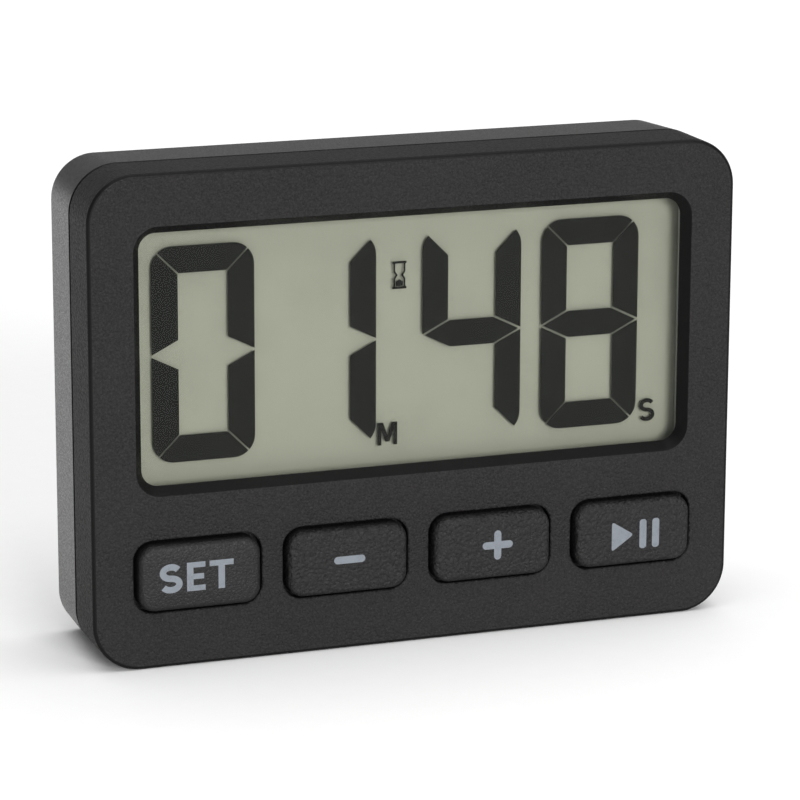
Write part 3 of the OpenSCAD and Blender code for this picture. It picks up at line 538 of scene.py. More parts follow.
for name, (bx0, bx1, bd0, bd1, bz0, bz1) in zip(button_names, button_spans):
    cap_w, cap_h = bx1 - bx0 - 2 * (flange_lap + cap_gap), bz1 - bz0 - 2 * (flange_lap + cap_gap)
    bx, bz, cap_r, flange_d = (bx0 + bx1) / 2, (bz0 + bz1) / 2, hole_r - cap_gap, bd1 - 0.7
    lap = flange_lap + cap_gap
    cap = skin("cap_" + name, rows(cap_w, cap_h, cap_r, bx, bz, (
        [(bd0 + d, g) for d, g in cap_crown]
        + corner((bd0 + 0.10, -0.62), (bd0 + 0.12, 0), (bd0 + 0.72, 0), 7)[1:]
        + corner((flange_d - 0.1, 0), (flange_d, 0), (flange_d, 0.1), 2)
        + corner((flange_d, lap - 0.12), (flange_d, lap), (flange_d + 0.12, lap), 2)
        + corner((bd1 - 0.12, lap), (bd1, lap), (bd1, lap - 0.12), 2)
        + [(bd1, -1.1), (bd0 + 1.4, -1.1)]), 9)
        + round_rows(bx, bz, [(bd0 + 1.4, 2.4), (bd1 - 0.1, 2.4), (bd1, 2.3)], 9))
    finish_piece(cap, "button_" + name, cap_plastics.get(name, cap_plastics["other"]),
                 ["button_" + name])

sign_ink, ink_tree, ink_place = new_finish("pad_printed_ink")
ink_cloud = noise(ink_tree, ink_place, 7000.0, 3.0)
ink_patch = noise(ink_tree, ink_place, 1500.0, 2.0)
ink_mix = calc(ink_tree, "ADD", ink_cloud, ink_patch)
surface(sign_ink, ink_tree, {
    "Base Color": ramp(ink_tree, ink_mix, (0.122, 0.136, 0.156, 1), (0.150, 0.167, 0.190, 1), 0.75, 1.25),
    "Roughness": grey(ink_tree, ink_cloud, 0.45, 0.65),
    "Normal": bumps(ink_tree, ink_cloud, 0.01, 0.6)})


def stroke(points, width):
    """Outline of a line of even width with mitred corners."""
    left, right = [], []
    for k, p in enumerate(points):
        a = Vector(points[max(k - 1, 0)])
        b = Vector(points[min(k + 1, len(points) - 1)])
        here = Vector(p)
        one = (here - a).normalized() if k else (b - here).normalized()
        two = (b - here).normalized() if k < len(points) - 1 else one
        side = Vector((-(one + two).y, (one + two).x)).normalized()
        reach = width / 2 / max(0.35, side.dot(Vector((-one.y, one.x))))
        left.append(tuple(here + side * reach))
        right.append(tuple(here - side * reach))
    return left + right[::-1]


def letter_s(x0, x1, z0, z1, width):
    """The letter S as one stroke between the given sides."""
    cx, half_w = (x0 + x1) / 2, (x1 - x0 - width) / 2
    reach = (z1 - z0 - width) / 4
    top, low = z1 - width / 2 - reach, z0 + width / 2 + reach
    line = [(cx + half_w * math.cos(math.radians(a)) * 0.96, top + reach * math.sin(math.radians(a)))
            for a in range(28, 266, 14)]
    line += [(cx + half_w * math.cos(math.radians(a)), low + reach * math.sin(math.radians(a)))
             for a in range(86, -153, -14)]
    return stroke(line, width)


def soft_corners(points, cut_back, steps=4):
    """Polygon with its corners rounded off."""
    made = []
    for k, p in enumerate(points):
        p, a, b = Vector(p), Vector(points[k - 1]), Vector(points[(k + 1) % len(points)])
        one, two = p + (a - p).normalized() * cut_back, p + (b - p).normalized() * cut_back
        for i in range(steps + 1):
            t = i / steps
            made.append(tuple((1 - t) ** 2 * one + 2 * t * (1 - t) * p + t * t * two))
    return made


def flat(name, shapes, d0, d1):
    """Thin solid from d0 to d1 in the form of each outline of (x, z) points."""
    return skin(name, *[[[spot(x, d, z) for x, z in shape] for d in (d0, d1)] for shape in shapes])


def bar(x0, x1, z0, z1, r):
    """Round-cornered upright bar as an outline of (x, z) points."""
    return [(p.x / mm, p.z / mm) for p in outline(x1 - x0, z1 - z0, r, 0, (x0 + x1) / 2, (z0 + z1) / 2, 6)]


def plus_sign(x, z, arm_x, arm_z, half):
    """Plus sign with round ends as one outline."""
    made = []
    for k, reach in enumerate((arm_x, arm_z, arm_x, arm_z)):
        out = Vector((math.cos(k * math.pi / 2), math.sin(k * math.pi / 2)))
        side = Vector((-out.y, out.x))
        for i in range(9):
            a = math.pi * (i / 8 - 0.5)
            p = out * (reach - half) + (out * math.cos(a) + side * math.sin(a)) * half
            made.append((x + p.x, z + p.y))
        made.append((x + (out.x + side.x) * half, z + (out.y + side.y) * half))
    return made


set_x, set_z, set_h = (button_spans[0][0] + button_spans[0][1]) / 2 - 0.5, bz - 0.02, 3.25
low, top, left = set_z - set_h / 2, set_z + set_h / 2, set_x - 4.22
signs = {
    "set": [letter_s(left, left + 2.62, low - 0.03, top + 0.03, 0.72),
            [(left + 3.12, low), (left + 5.22, low), (left + 5.22, low + 0.62), (left + 3.86, low + 0.62),
             (left + 3.86, set_z - 0.31), (left + 5.06, set_z - 0.31), (left + 5.06, set_z + 0.31),
             (left + 3.86, set_z + 0.31), (left + 3.86, top - 0.62), (left + 5.22, top - 0.62),
             (left + 5.22, top), (left + 3.12, top)],
            [(left + 6.70, low), (left + 7.44, low), (left + 7.44, top - 0.64), (left + 8.44, top - 0.64),
             (left + 8.44, top), (left + 5.70, top), (left + 5.70, top - 0.64),
             (left + 6.70, top - 0.64)]],
    "minus": [bar(-8.45 - 1.82, -8.45 + 1.82, bz + 0.16 - 0.425, bz + 0.16 + 0.425, 0.42)],
    "plus": [plus_sign(9.06, bz + 0.14, 1.815, 1.705, 0.43)],
    "start": [soft_corners([(22.9, bz - 2.04), (25.6, bz - 0.19), (22.9, bz + 1.51)], 0.42),
              bar(26.3, 27.15, bz - 1.93, bz + 1.5, 0.36), bar(27.85, 28.72, bz - 1.93, bz + 1.5, 0.36)]}
for name, (bx0, bx1, bd0, _, _, _) in zip(button_names, button_spans):
    finish_piece(flat("sign_" + name, signs[name], bd0 + 0.006, bd0 + 0.06), "button_" + name, sign_ink)

# ---- Display ----
# A clear window bonded behind the face, and behind it the liquid-crystal cell: two glasses with the
# polarising film on the front one, the dark strokes between them, and the grey-green reflector.


def clear(name, tint, level, smear):
    """Clear sheet: light goes straight through and the outer faces keep their gloss."""
    material, tree, place = new_finish(name)
    dust = noise(tree, place, 300.0, 5.0, 0.7)
    through = put(tree, "BsdfTransparent", {"Color": ramp(tree, dust, tint,
                                                          tuple(c * 0.985 for c in tint[:3]) + (1,))})
    sheen = put(tree, "BsdfGlossy", {"Color": (0.9, 0.92, 0.95, 1),
                                     "Roughness": grey(tree, dust, smear, smear + 0.12)})
    fresnel = put(tree, "Fresnel", {"IOR": level})
    front = put(tree, "NewGeometry")
    share = calc(tree, "MULTIPLY", fresnel.outputs[0], grey(tree, front.outputs["Backfacing"], 1.0, 0.0))
    both = put(tree, "MixShader", {"Fac": share, 1: through.outputs[0], 2: sheen.outputs[0]})
    put(tree, "OutputMaterial", {"Surface": both.outputs[0]})
    return material


window_glass = clear("clear_window_plastic", (0.97, 0.975, 0.97, 1), 1.18, 0.06)
window_back = span("display_window")[3]
window = skin("window_clear", rows(wx1 - wx0, wz1 - wz0, 1.0, view_x, view_z, [
    (window_d + 0.01, -0.1), (window_d + 0.11, 0), (window_back - 0.12, 0),
    (window_back - 0.02, -0.1)], 6))
finish_piece(window, "case", window_glass, ["display_window"])

cell_glass = clear("display_glass", (0.96, 0.97, 0.95, 1), 1.05, 0.2)
px0, px1, film_d, glass_d, pz0, pz1 = span("front_polariser")
gx0, gx1, _, cell_d, gz0, gz1 = span("front_glass")
_, _, _, cell_back, rz0, _ = span("rear_glass")
glass_w, glass_x = gx1 - gx0, (gx0 + gx1) / 2
cell = skin("display_cell", [
    outline(px1 - px0, pz1 - pz0, 0.3, film_d + 0.01, view_x, view_z, 3),
    outline(px1 - px0, pz1 - pz0, 0.3, glass_d, view_x, view_z, 3),
    outline(glass_w, gz1 - gz0, 0.15, glass_d, glass_x, (gz0 + gz1) / 2, 3),
    outline(glass_w, gz1 - gz0, 0.15, cell_d, glass_x, (gz0 + gz1) / 2, 3),
    outline(glass_w, gz1 - rz0, 0.15, cell_d, glass_x, (rz0 + gz1) / 2, 3),
    outline(glass_w, gz1 - rz0, 0.15, cell_back - 0.02, glass_x, (rz0 + gz1) / 2, 3)])
finish_piece(cell, "case", cell_glass, ["front_polariser", "front_glass", "rear_glass"])

# The strokes of the four digits: straight strokes with fine light gaps on the mitres, their outer
# corners on one round outline, and beside them a sand-glass and the letters for minutes and seconds.
lx0, lx1, stroke_d, stroke_back, lz0, lz1 = span("lcd_segments")
digit_h, digit_w, bar_w, round_r = lz1 - lz0, 0.185 * view_w, 3.0, 2.45
gap = 0.19 / math.sqrt(2)
swing = math.degrees(math.asin(gap / (round_r * math.sqrt(2))))


def digit_stroke(name):
    """One stroke, a to g, on a field from 0, 0 to digit_w, digit_h."""
    w, h, s, mid, m = digit_w, digit_h, bar_w, digit_h / 2, gap

    def arc(a, b):
        return [(round_r * (1 - math.cos(math.radians(t))), h - round_r * (1 - math.sin(math.radians(t))))
                for t in [a + (b - a) * k / 8 for k in range(9)]]
    if name in "fbec":
        points = [(0, mid + m)] + arc(0, 45 - swing) + [(s, h - s - m), (s, mid + s / 2 + m)]
    elif name in "ad":
        half = arc(45 + swing, 90)
        points = half + [(w - x, z) for x, z in half[::-1]] + [(w - s - m, h - s), (s + m, h - s)]
    else:
        points = [(2 * m, mid), (s + 2 * m, mid + s / 2), (w - s - 2 * m, mid + s / 2), (w - 2 * m, mid),
                  (w - s - 2 * m, mid - s / 2), (s + 2 * m, mid - s / 2)]
    if name in "bc":
        points = [(w - x, z) for x, z in points]
    if name in "ecd":
        points = [(x, h - z) for x, z in points]
    return points


strokes = []
for left, lit in zip((lx0, -0.2484 * view_w, 0.023 * view_w, lx1 - digit_w),
                     ("abcdef", "bc", "bcfg", "abcdefg")):
    for name in lit:
        strokes.append([(left + x, lz0 + z) for x, z in digit_stroke(name)])
icon_x, icon_z, icon_w, icon_h = -2.1, case_mid + 12.3, 1.65, 3.1
for side in (1, -1):
    strokes.append(stroke([(icon_x + icon_w * (0.5 + side * (u - 0.5)), icon_z + icon_h * v) for u, v in
                           ((0.14, 0.05), (0.14, 0.37), (0.31, 0.5), (0.14, 0.63), (0.14, 0.95))], 0.2))
strokes += [bar(icon_x, icon_x + icon_w, icon_z + a, icon_z + a + 0.26, 0.03) for a in (0, icon_h - 0.26)]
strokes.append([(icon_x + icon_w * u, icon_z + icon_h * v) for u, v in
                ((0.25, 0.1), (0.75, 0.1), (0.75, 0.26), (0.5, 0.35), (0.25, 0.26))])
letter_m = ((0, 0), (0.44, 0), (0.44, 1.62), (0.93, 0.39), (1.37, 0.39), (1.86, 1.62), (1.86, 0), (2.3, 0),
            (2.3, 2.58), (1.66, 2.58), (1.15, 1.10), (0.64, 2.58), (0, 2.58))
strokes.append([(x - 3.78, case_mid - 5.37 + z) for x, z in letter_m])
strokes.append(letter_s(27.7, 29.63, case_mid - 5.27, case_mid - 2.6, 0.46))
lcd_dark, dark_tree, dark_place = new_finish("liquid_crystal_dark")
dark_cloud = noise(dark_tree, dark_place, 900.0, 3.0)
surface(lcd_dark, dark_tree, {
    "Base Color": ramp(dark_tree, dark_cloud, (0.0080, 0.0080, 0.0070, 1), (0.0095, 0.0095, 0.0083, 1)),
    "Roughness": grey(dark_tree, dark_cloud, 0.55, 0.7), "Specular IOR Level": 0.1})
finish_piece(flat("display_strokes", strokes, stroke_d, stroke_back - 0.005), "case", lcd_dark,
             ["lcd_segments"])

reflector_grey, back_tree, back_place = new_finish("reflecting_film")
back_fine = noise(back_tree, back_place, 3500.0, 4.0, 0.7)
back_cloud = noise(back_tree, back_place, 120.0, 2.0)
back_both = calc(back_tree, "ADD", back_fine, back_cloud)
surface(reflector_grey, back_tree, {
    "Base Color": ramp(back_tree, back_both, (0.275, 0.268, 0.231, 1), (0.304, 0.296, 0.255, 1), 0.7, 1.3),
    "Roughness": grey(back_tree, back_fine, 0.5, 0.7), "Specular IOR Level": 0.2,
    "Normal": bumps(back_tree, back_fine, 0.01, 0.4)})
film_back = span("reflector")[3]
film = skin("reflector_film", rows(glass_w, view_h + 1.4, 0.2, view_x, view_z, [
    (cell_back, 0), (film_back - 0.02, 0), (film_back, -0.02)], 3))
finish_piece(film, "case", reflector_grey, ["reflector"])

# ---- Contact strip and its frame ----
# A white frame of moulded polystyrene centres the cell, and a strip of silicone rubber with fine black
# carbon layers stands in its slot: each layer joins one pad of the glass to one of the board.

frame_white, frame_tree, frame_place = new_finish("white_frame_plastic")
frame_cloud = noise(frame_tree, frame_place, 260.0, 5.0)
surface(frame_white, frame_tree, {
    "Base Color": ramp(frame_tree, frame_cloud, (0.62, 0.61, 0.57, 1), (0.72, 0.71, 0.68, 1), 0.3, 0.7),
    "Roughness": grey(frame_tree, frame_cloud, 0.35, 0.55),
    "Normal": bumps(frame_tree, frame_cloud, 0.01, 0.5)})
zebra, zebra_tree, zebra_place = new_finish("striped_silicone")
across = put(zebra_tree, "SeparateXYZ", {0: zebra_place}).outputs["X"]
layer = calc(zebra_tree, "FRACT", calc(zebra_tree, "MULTIPLY", across, 5000.0))
zebra_noise = noise(zebra_tree, zebra_place, 3000.0)
surface(zebra, zebra_tree, {
    "Base Color": ramp(zebra_tree, layer, (0.02, 0.02, 0.02, 1), (0.50, 0.42, 0.40, 1), 0.45, 0.55),
    "Roughness": grey(zebra_tree, zebra_noise, 0.5, 0.75),
    "Normal": bumps(zebra_tree, layer, 0.01, 0.5)})


def dress(material, *names):
    """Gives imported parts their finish."""
    for name in names:
        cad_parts[name].data.materials.clear()
        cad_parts[name].data.materials.append(material)


dress(frame_white, "lcd_frame")
dress(zebra, "zebra_strip")

# ---- Circuit board ----
# A board of glass-epoxy laminate under dark green solder mask, with the bare timer chip bonded on it
# and covered by a drop of black resin, a quartz crystal in a tin can, and chip resistors soldered down.

board_green, board_tree, board_place = new_finish("solder_mask_laminate")
weave = put(board_tree, "TexWave", {
    "Vector": board_place, "Scale": 900.0, "Distortion": 1.0, "Detail": 1.0}, bands_direction="X")
upright = put(board_tree, "Mapping", {"Vector": board_place, "Rotation": (math.pi / 2, 0, 0)}).outputs[0]
tracks = put(board_tree, "TexBrick", {
    "Vector": upright, "Scale": 330.0, "Mortar Size": 0.035, "Mortar Smooth": 0.2,
    "Brick Width": 0.9, "Row Height": 0.5})
mask_cloud = noise(board_tree, board_place, 500.0, 3.0)
mask = ramp(board_tree, mask_cloud, (0.008, 0.055, 0.022, 1), (0.012, 0.075, 0.030, 1), 0.3, 0.7)
with_tracks = put(board_tree, "MixRGB", {"Fac": tracks.outputs["Fac"], "Color1": mask,
                                         "Color2": (0.035, 0.14, 0.055, 1)})
surface(board_green, board_tree, {
    "Base Color": with_tracks.outputs["Color"],
    "Roughness": grey(board_tree, weave.outputs["Fac"], 0.27, 0.38),
    "Normal": bumps(board_tree, tracks.outputs["Fac"], 0.02, 0.5)})


def plain_finish(name, low, high, rough, scale, relief, metallic=0.0):
    """Finish for a small part: cloudy colour, uneven gloss and a faint relief."""
    material, tree, place = new_finish(name)
    cloud = noise(tree, place, scale, 5.0, 0.65)
    return surface(material, tree, {
        "Base Color": ramp(tree, cloud, low + (1,), high + (1,), 0.3, 0.7),
        "Roughness": grey(tree, cloud, rough - 0.08, rough + 0.08, 0.3, 0.7),
        "Metallic": metallic,
        "Normal": bumps(tree, cloud, relief, 0.6)})


dress(board_green, "circuit_board")
dress(plain_finish("black_chip_resin", (0.012, 0.012, 0.013), (0.020, 0.020, 0.021), 0.28, 700.0, 0.02),
      "timer_chip")
dress(plain_finish("tin_can", (0.55, 0.56, 0.57), (0.70, 0.71, 0.72), 0.3, 900.0, 0.004, 1.0),
      "quartz_crystal")
dress(plain_finish("chip_ceramic", (0.25, 0.19, 0.12), (0.34, 0.27, 0.18), 0.5, 2500.0, 0.01),
      "chip_parts")

# ---- Rubber keypad ----
# One moulding of dark silicone rubber. Its domes buckle under the caps and push a carbon pill on to
# the board, so each dome flattens as its button goes down.

rubber = plain_finish("silicone_rubber", (0.045, 0.047, 0.050), (0.070, 0.072, 0.076), 0.65, 1400.0, 0.02)
dress(rubber, "keypad_mat")
dress(plain_finish("carbon_pill", (0.008, 0.008, 0.008), (0.018, 0.018, 0.018), 0.8, 4000.0, 0.02),
      *["pill_" + name for name in button_names])
for name in button_names:
    dx0, dx1, dome_d0, dome_d1, dz0, dz1 = span("dome_" + name)
    dome_x, dome_z, dome_r = (dx0 + dx1) / 2, (dz0 + dz1) / 2, (dx1 - dx0) / 2
    crown = dome_d0
    dome = skin("dome_" + name + "_rubber", round_rows(dome_x, dome_z, (
        [(crown, 0.6), (crown, 2.3)] + corner((crown, 2.3), (crown, 2.6), (crown + 0.3, 2.6), 3)[1:]
        + [(crown + 0.7, 2.62), (crown + 1.0, 2.78), (dome_d1 - 1.1, 3.68)]
        + corner((dome_d1 - 1.0, 3.72), (dome_d1 - 0.8, dome_r), (dome_d1 - 0.6, dome_r), 2)
        + [(dome_d1, dome_r), (dome_d1, dome_r - 0.5), (dome_d1 - 0.6, dome_r - 0.5), (crown + 1.1, 2.2),
           (dome_d1 - 1.3, 2.2), (dome_d1 - 1.2, 2.1), (dome_d1 - 1.2, 0.5)]), 9))
    finish_piece(dome, "case", rubber, ["dome_" + name])
    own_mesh(dome)

# ---- Buzzer ----
# A brass disc with a thin white ceramic disc glued on it, silvered in the middle, glued on a ring of
# the rear half. Two soft insulated leads come over from the board.

brass, brass_tree, brass_place = new_finish("brass_sheet")
brass_at = put(brass_tree, "Mapping", {
    "Vector": brass_place, "Location": tuple(-spot(ring_x, 0, ring_z))}).outputs[0]
rolled = put(brass_tree, "TexWave", {
    "Vector": brass_at, "Scale": 1500.0, "Distortion": 3.0, "Detail": 3.0},
    wave_type="RINGS", rings_direction="Y")
brass_cloud = noise(brass_tree, brass_place, 350.0, 4.0)
surface(brass, brass_tree, {
    "Base Color": ramp(brass_tree, brass_cloud, (0.55, 0.38, 0.13, 1), (0.72, 0.53, 0.22, 1), 0.3, 0.7),
    "Metallic": 1.0, "Roughness": grey(brass_tree, rolled.outputs["Fac"], 0.25, 0.4),
    "Normal": bumps(brass_tree, rolled.outputs["Fac"], 0.005, 0.3)})
dress(brass, "buzzer_plate")
dress(plain_finish("silvered_ceramic", (0.66, 0.65, 0.62), (0.80, 0.79, 0.77), 0.45, 1200.0, 0.01),
      "buzzer_ceramic")
dress(plain_finish("red_lead_sleeve", (0.33, 0.012, 0.010), (0.45, 0.022, 0.016), 0.4, 1100.0, 0.01),
      "buzzer_leads", "positive_lead")
dress(plain_finish("black_lead_sleeve", (0.010, 0.010, 0.011), (0.020, 0.020, 0.022), 0.4, 1100.0, 0.01),
      "negative_lead")

# ---- Battery and its contacts ----
# A cell in a shrunk printed film that wraps over both ends, with a steel nub and a steel base. At one
# end it meets a nickel-plated spring plate, at the other a conical spring of steel wire on a plate.

steel, steel_tree, steel_place = new_finish("nickel_plated_steel")
steel_cloud = noise(steel_tree, steel_place, 800.0, 5.0, 0.7)
drawn = put(steel_tree, "Mapping", {"Vector": steel_place, "Scale": (1.0, 12.0, 1.0)}).outputs[0]
brushed = noise(steel_tree, drawn, 900.0, 3.0)
surface(steel, steel_tree, {
    "Base Color": ramp(steel_tree, steel_cloud, (0.60, 0.59, 0.57, 1), (0.74, 0.73, 0.70, 1), 0.3, 0.7),
    "Metallic": 1.0, "Roughness": grey(steel_tree, steel_cloud, 0.18, 0.36, 0.3, 0.7),
    "Normal": bumps(steel_tree, brushed, 0.004, 0.25)})
cell_r = (battery_z1 - battery_z0) / 2
can_x1 = battery_x1 - 0.8
cell_steel = skin("battery_ends", rows_x(0, 0, 0, battery_d, battery_z, (
    [(battery_x0, 3.2)] + corner((battery_x0, 4.3), (battery_x0, 4.7), (battery_x0 + 0.4, 4.7), 3)
    + [(battery_x0 + 0.7, 4.9), (can_x1 - 0.7, 4.9)]
    + corner((can_x1 - 0.6, 4.7), (can_x1 - 0.1, 4.7), (can_x1 - 0.1, 4.2), 3)
    + [(can_x1 - 0.1, 2.2)] + corner((can_x1, 1.95), (can_x1, 1.9), (can_x1 + 0.05, 1.9), 2)
    + corner((battery_x1 - 0.25, 1.9), (battery_x1, 1.9), (battery_x1, 1.65), 4)), 12))
finish_piece(cell_steel, "case", steel, ["battery"])

sleeve_film, film_tree, film_place = new_finish("printed_cell_film")
film_x = put(film_tree, "SeparateXYZ", {0: film_place}).outputs["X"]
film_cloud = noise(film_tree, film_place, 240.0, 4.0)
bands = put(film_tree, "ValToRGB", {
    "Fac": grey(film_tree, film_x, 0.0, 1.0, battery_x0 * mm, battery_x1 * mm)})
bands.color_ramp.interpolation = "CONSTANT"
bands.color_ramp.elements[0].color = (0.02, 0.05, 0.11, 1)
bands.color_ramp.elements[1].position, bands.color_ramp.elements[1].color = 0.70, (0.35, 0.36, 0.37, 1)
for place_at, band in ((0.72, (0.55, 0.32, 0.06, 1)), (0.965, (0.02, 0.05, 0.11, 1))):
    bands.color_ramp.elements.new(place_at).color = band
film_colour = put(film_tree, "MixRGB", {"Fac": grey(film_tree, film_cloud, 0.0, 0.25),
                                        "Color1": bands.outputs["Color"], "Color2": (0.2, 0.2, 0.2, 1)})
surface(sleeve_film, film_tree, {
    "Base Color": film_colour.outputs["Color"],
    "Roughness": grey(film_tree, film_cloud, 0.15, 0.32), "Coat Weight": 0.4,
    "Normal": bumps(film_tree, film_cloud, 0.02, 0.3)})
sleeve = skin("battery_sleeve", rows_x(0, 0, 0, battery_d, battery_z, (
    corner((battery_x0 + 0.02, 4.0), (battery_x0 + 0.02, 4.95), (battery_x0 + 0.6, cell_r), 6)
    + [(battery_x0 + 1.0, cell_r), (can_x1 - 1.0, cell_r)]
    + corner((can_x1 - 0.6, cell_r), (can_x1, 4.95), (can_x1, 4.0), 6)
    + [(can_x1 - 0.12, 4.0), (can_x1 - 0.5, 4.95), (battery_x0 + 0.5, 4.95),
       (battery_x0 + 0.14, 4.0)]), 12), ends=False)
finish_piece(sleeve, "case", sleeve_film, ["battery"])

plus_x, minus_x, mark_r = can_x1 - 4.2, battery_x0 + 4.0, cell_r + 0.012
arm, half_arm = 1.2, 0.3


def wrapped(name, shapes):
    """Thin printed marks that follow the round cell on its door side; shapes are (x, arc) outlines."""
    stacks = []
    for shape in shapes:
        stacks.append([[spot(x, battery_d + r * math.cos(s / cell_r), battery_z + r * math.sin(s / cell_r))
                        for x, s in shape] for r in (mark_r, mark_r - 0.05)])
    return skin(name, *stacks)


def fine(x0, x1, s0, s1):
    """Rectangle with enough points to bend round the cell."""
    steps = max(2, round((s1 - s0) / 0.25))
    return ([(x0, s0 + (s1 - s0) * k / steps) for k in range(steps + 1)]
            + [(x1, s1 - (s1 - s0) * k / steps) for k in range(steps + 1)])


marks = wrapped("battery_marks", [
    fine(plus_x - half_arm, plus_x + half_arm, half_arm, arm),
    fine(plus_x - arm, plus_x + arm, -half_arm, half_arm),
    fine(plus_x - half_arm, plus_x + half_arm, -arm, -half_arm),
    fine(minus_x - half_arm, minus_x + half_arm, -arm, arm)])
finish_piece(marks, "case", sign_ink)

spring_x, contact_w, contact_r = -pocket_x, 8, 0.8
plus_plate = skin("positive_contact_plate", rows_x(
    contact_w, contact_w, contact_r, battery_d, battery_z, [
        (pocket_x, -0.06), (pocket_x - 0.06, 0), (pocket_x - 0.24, 0), (pocket_x - 0.3, -0.06),
        (pocket_x - 0.3, -1.4), (pocket_x - 0.4, -2.1), (pocket_x - 0.4, -3.3)], 6))
finish_piece(plus_plate, "case", steel, ["positive_contact"])
minus_plate = skin("negative_contact_plate", rows_x(
    contact_w, contact_w, contact_r, battery_d, battery_z, [
        (spring_x, -0.06), (spring_x + 0.06, 0), (spring_x + 0.34, 0), (spring_x + 0.4, -0.06)], 6))
finish_piece(minus_plate, "case", steel, ["negative_contact"])

# The conical spring: a wire of even thickness swept along a tapering helix.
spring_tree, given = new_tree("conical_spring", {
    "Turns": "Float", "Base Radius": "Float", "Tip Radius": "Float", "Length": "Float",
    "Wire Radius": "Float"})
helix = grow(spring_tree, "GeometryNodeCurveSpiral", {
    "Resolution": 36, "Rotations": given["Turns"], "Start Radius": given["Base Radius"],
    "End Radius": given["Tip Radius"], "Height": given["Length"]})
section = grow(spring_tree, "GeometryNodeCurvePrimitiveCircle", {
    "Resolution": 12, "Radius": given["Wire Radius"]})
swept = grow(spring_tree, "GeometryNodeCurveToMesh", {
    "Curve": helix.outputs[0], "Profile Curve": section.outputs[0], "Fill Caps": True})
laid = grow(spring_tree, "GeometryNodeTransform", {"Geometry": swept.outputs[0],
                                                  "Rotation": (0.0, math.pi / 2, 0.0)})
end_tree(spring_tree, given, laid)
spring = grown("contact_spring", spring_tree, {
    "Turns": 3.5, "Base Radius": 3.4 * mm, "Tip Radius": 2.0 * mm, "Wire Radius": 0.25 * mm,
    "Length": 2.8 * mm, "Finish": steel})
spring.data.transform(Matrix.Translation(spot(spring_x + 0.66, battery_d, battery_z)))
finish_piece(spring, "case", steel, ["negative_contact"])

# ---- Battery door ----
# A loose lid of the rear plastic: two hooks go under the wall at its lower edge, and a springy finger
# at the top snaps behind the wall. Grooves hold the thumb and arrows show which way it pushes.

lid = skin("battery_door_moulded", rows(door_w, door_h, door_r, 0, door_z, (
    [(door_d, -0.08), (door_d + 0.08, 0)]
    + corner((back_d - 0.25, 0), (back_d, 0), (back_d, -0.25), 4)), 8))
hooks = [box_tool("hook_roots", *[(s * hook_x - hook_w / 2, s * hook_x + hook_w / 2, hook_d, door_d + 0.1,
                                   door_z0 + 0.3, door_z0 + 1.5) for s in (-1, 1)]),
         skin("hook_tips", *[rows(hook_w - 0.02, hook_h, 0.12, s * hook_x, hook_z0 + hook_h / 2, [
             (hook_d + 0.01, -0.1), (hook_d + 0.11, 0), (hook_d + 0.8, 0), (hook_d + 0.9, -0.1)], 3)
             for s in (-1, 1)])]
cut(lid, *hooks, way="UNION")

rib_tree, given = new_tree("grip_grooves", {"Groove": "Object", "Grooves": "Int", "Pitch": "Float"})
step = grow(rib_tree, "ShaderNodeCombineXYZ", {"Z": given["Pitch"]})
line = grow(rib_tree, "GeometryNodeMeshLine", {"Count": given["Grooves"], "Offset": step.outputs[0]})
shape = grow(rib_tree, "GeometryNodeObjectInfo", {"Object": given["Groove"]})
ribs = grow(rib_tree, "GeometryNodeInstanceOnPoints", {"Points": line.outputs[0],
                                                      "Instance": shape.outputs["Geometry"]})
end_tree(rib_tree, given, ribs)

groove = skin("groove", rows(13.0, 0.55, 0.27, 0, door_z0 + 1.9, [
    (back_d - 0.32, -0.12), (back_d - 0.24, -0.02), (back_d - 0.1, 0.02), (back_d + 0.02, 0.1),
    (back_d + 0.3, 0.1)], 5))
grooves = grown("grooves", rib_tree, {"Groove": groove, "Grooves": 6, "Pitch": 1.05 * mm,
                                      "Finish": rear_plastic})
bpy.data.objects.remove(groove)
cut(lid, grooves,
    skin("thumb_dip", round_rows(0, door_z1 + 0.5, [
        (back_d - 0.7, 3.5), (back_d - 0.62, 3.72)] + [(d, 3.8 + g) for d, g in rim(back_d, 0.25)], 12)),
    flat("arrows", [
        stroke([(x - 1.7, door_z + z + 1.8), (x, door_z + z), (x + 1.7, door_z + z + 1.8)], 0.6)
        for x in (-10.5, 10.5) for z in (-1.0, 0.5)], back_d - 0.35, back_d + 0.3))
finish_piece(lid, "battery_door", rear_plastic, ["battery_door"])


def section_along_x(name, section, x0, x1, ease):
    """Solid with the same (depth, height) section along X, its end edges eased."""
    cx = sum(p[0] for p in section) / len(section)
    cz = sum(p[1] for p in section) / len(section)
    stack = []
    for x, shrink in ((x0, ease), (x0 + ease * 0.3, ease * 0.3), (x0 + ease, 0),
                      (x1 - ease, 0), (x1 - ease * 0.3, ease * 0.3), (x1, ease)):
        ring = []
        for d, z in section:
            ring.append(spot(x, d + shrink * (1 if d < cx else -1), z + shrink * (1 if z < cz else -1)))
        stack.append(ring)
    return skin(name, stack)


latch_in, latch_top = latch_d0, door_z1 - 0.2
latch = section_along_x("door_latch_moulded", [
    (door_d + 0.05, latch_top - 0.8), (door_d + 0.05, latch_top), (rear_wall_d - 0.1, latch_top),
    (rear_wall_d - 0.1, latch_z1 - 0.05), (rear_wall_d - 0.2, latch_z1), (rear_wall_d - 0.4, latch_z1),
    (rear_wall_d - 1.3, latch_top), (latch_in + 0.15, latch_top), (latch_in, latch_top - 0.15),
    (latch_in, latch_top - 0.65), (latch_in + 0.15, latch_top - 0.8)], latch_x0, latch_x1, 0.08)
finish_piece(latch, "battery_door", rear_plastic, ["door_latch"])

# ---- Fold-out stand ----
# A flap of the rear plastic that lies flush in its bed and snaps on two short pins. Its tail meets
# the floor of the bed and stops it when it has swung far enough to lean on.

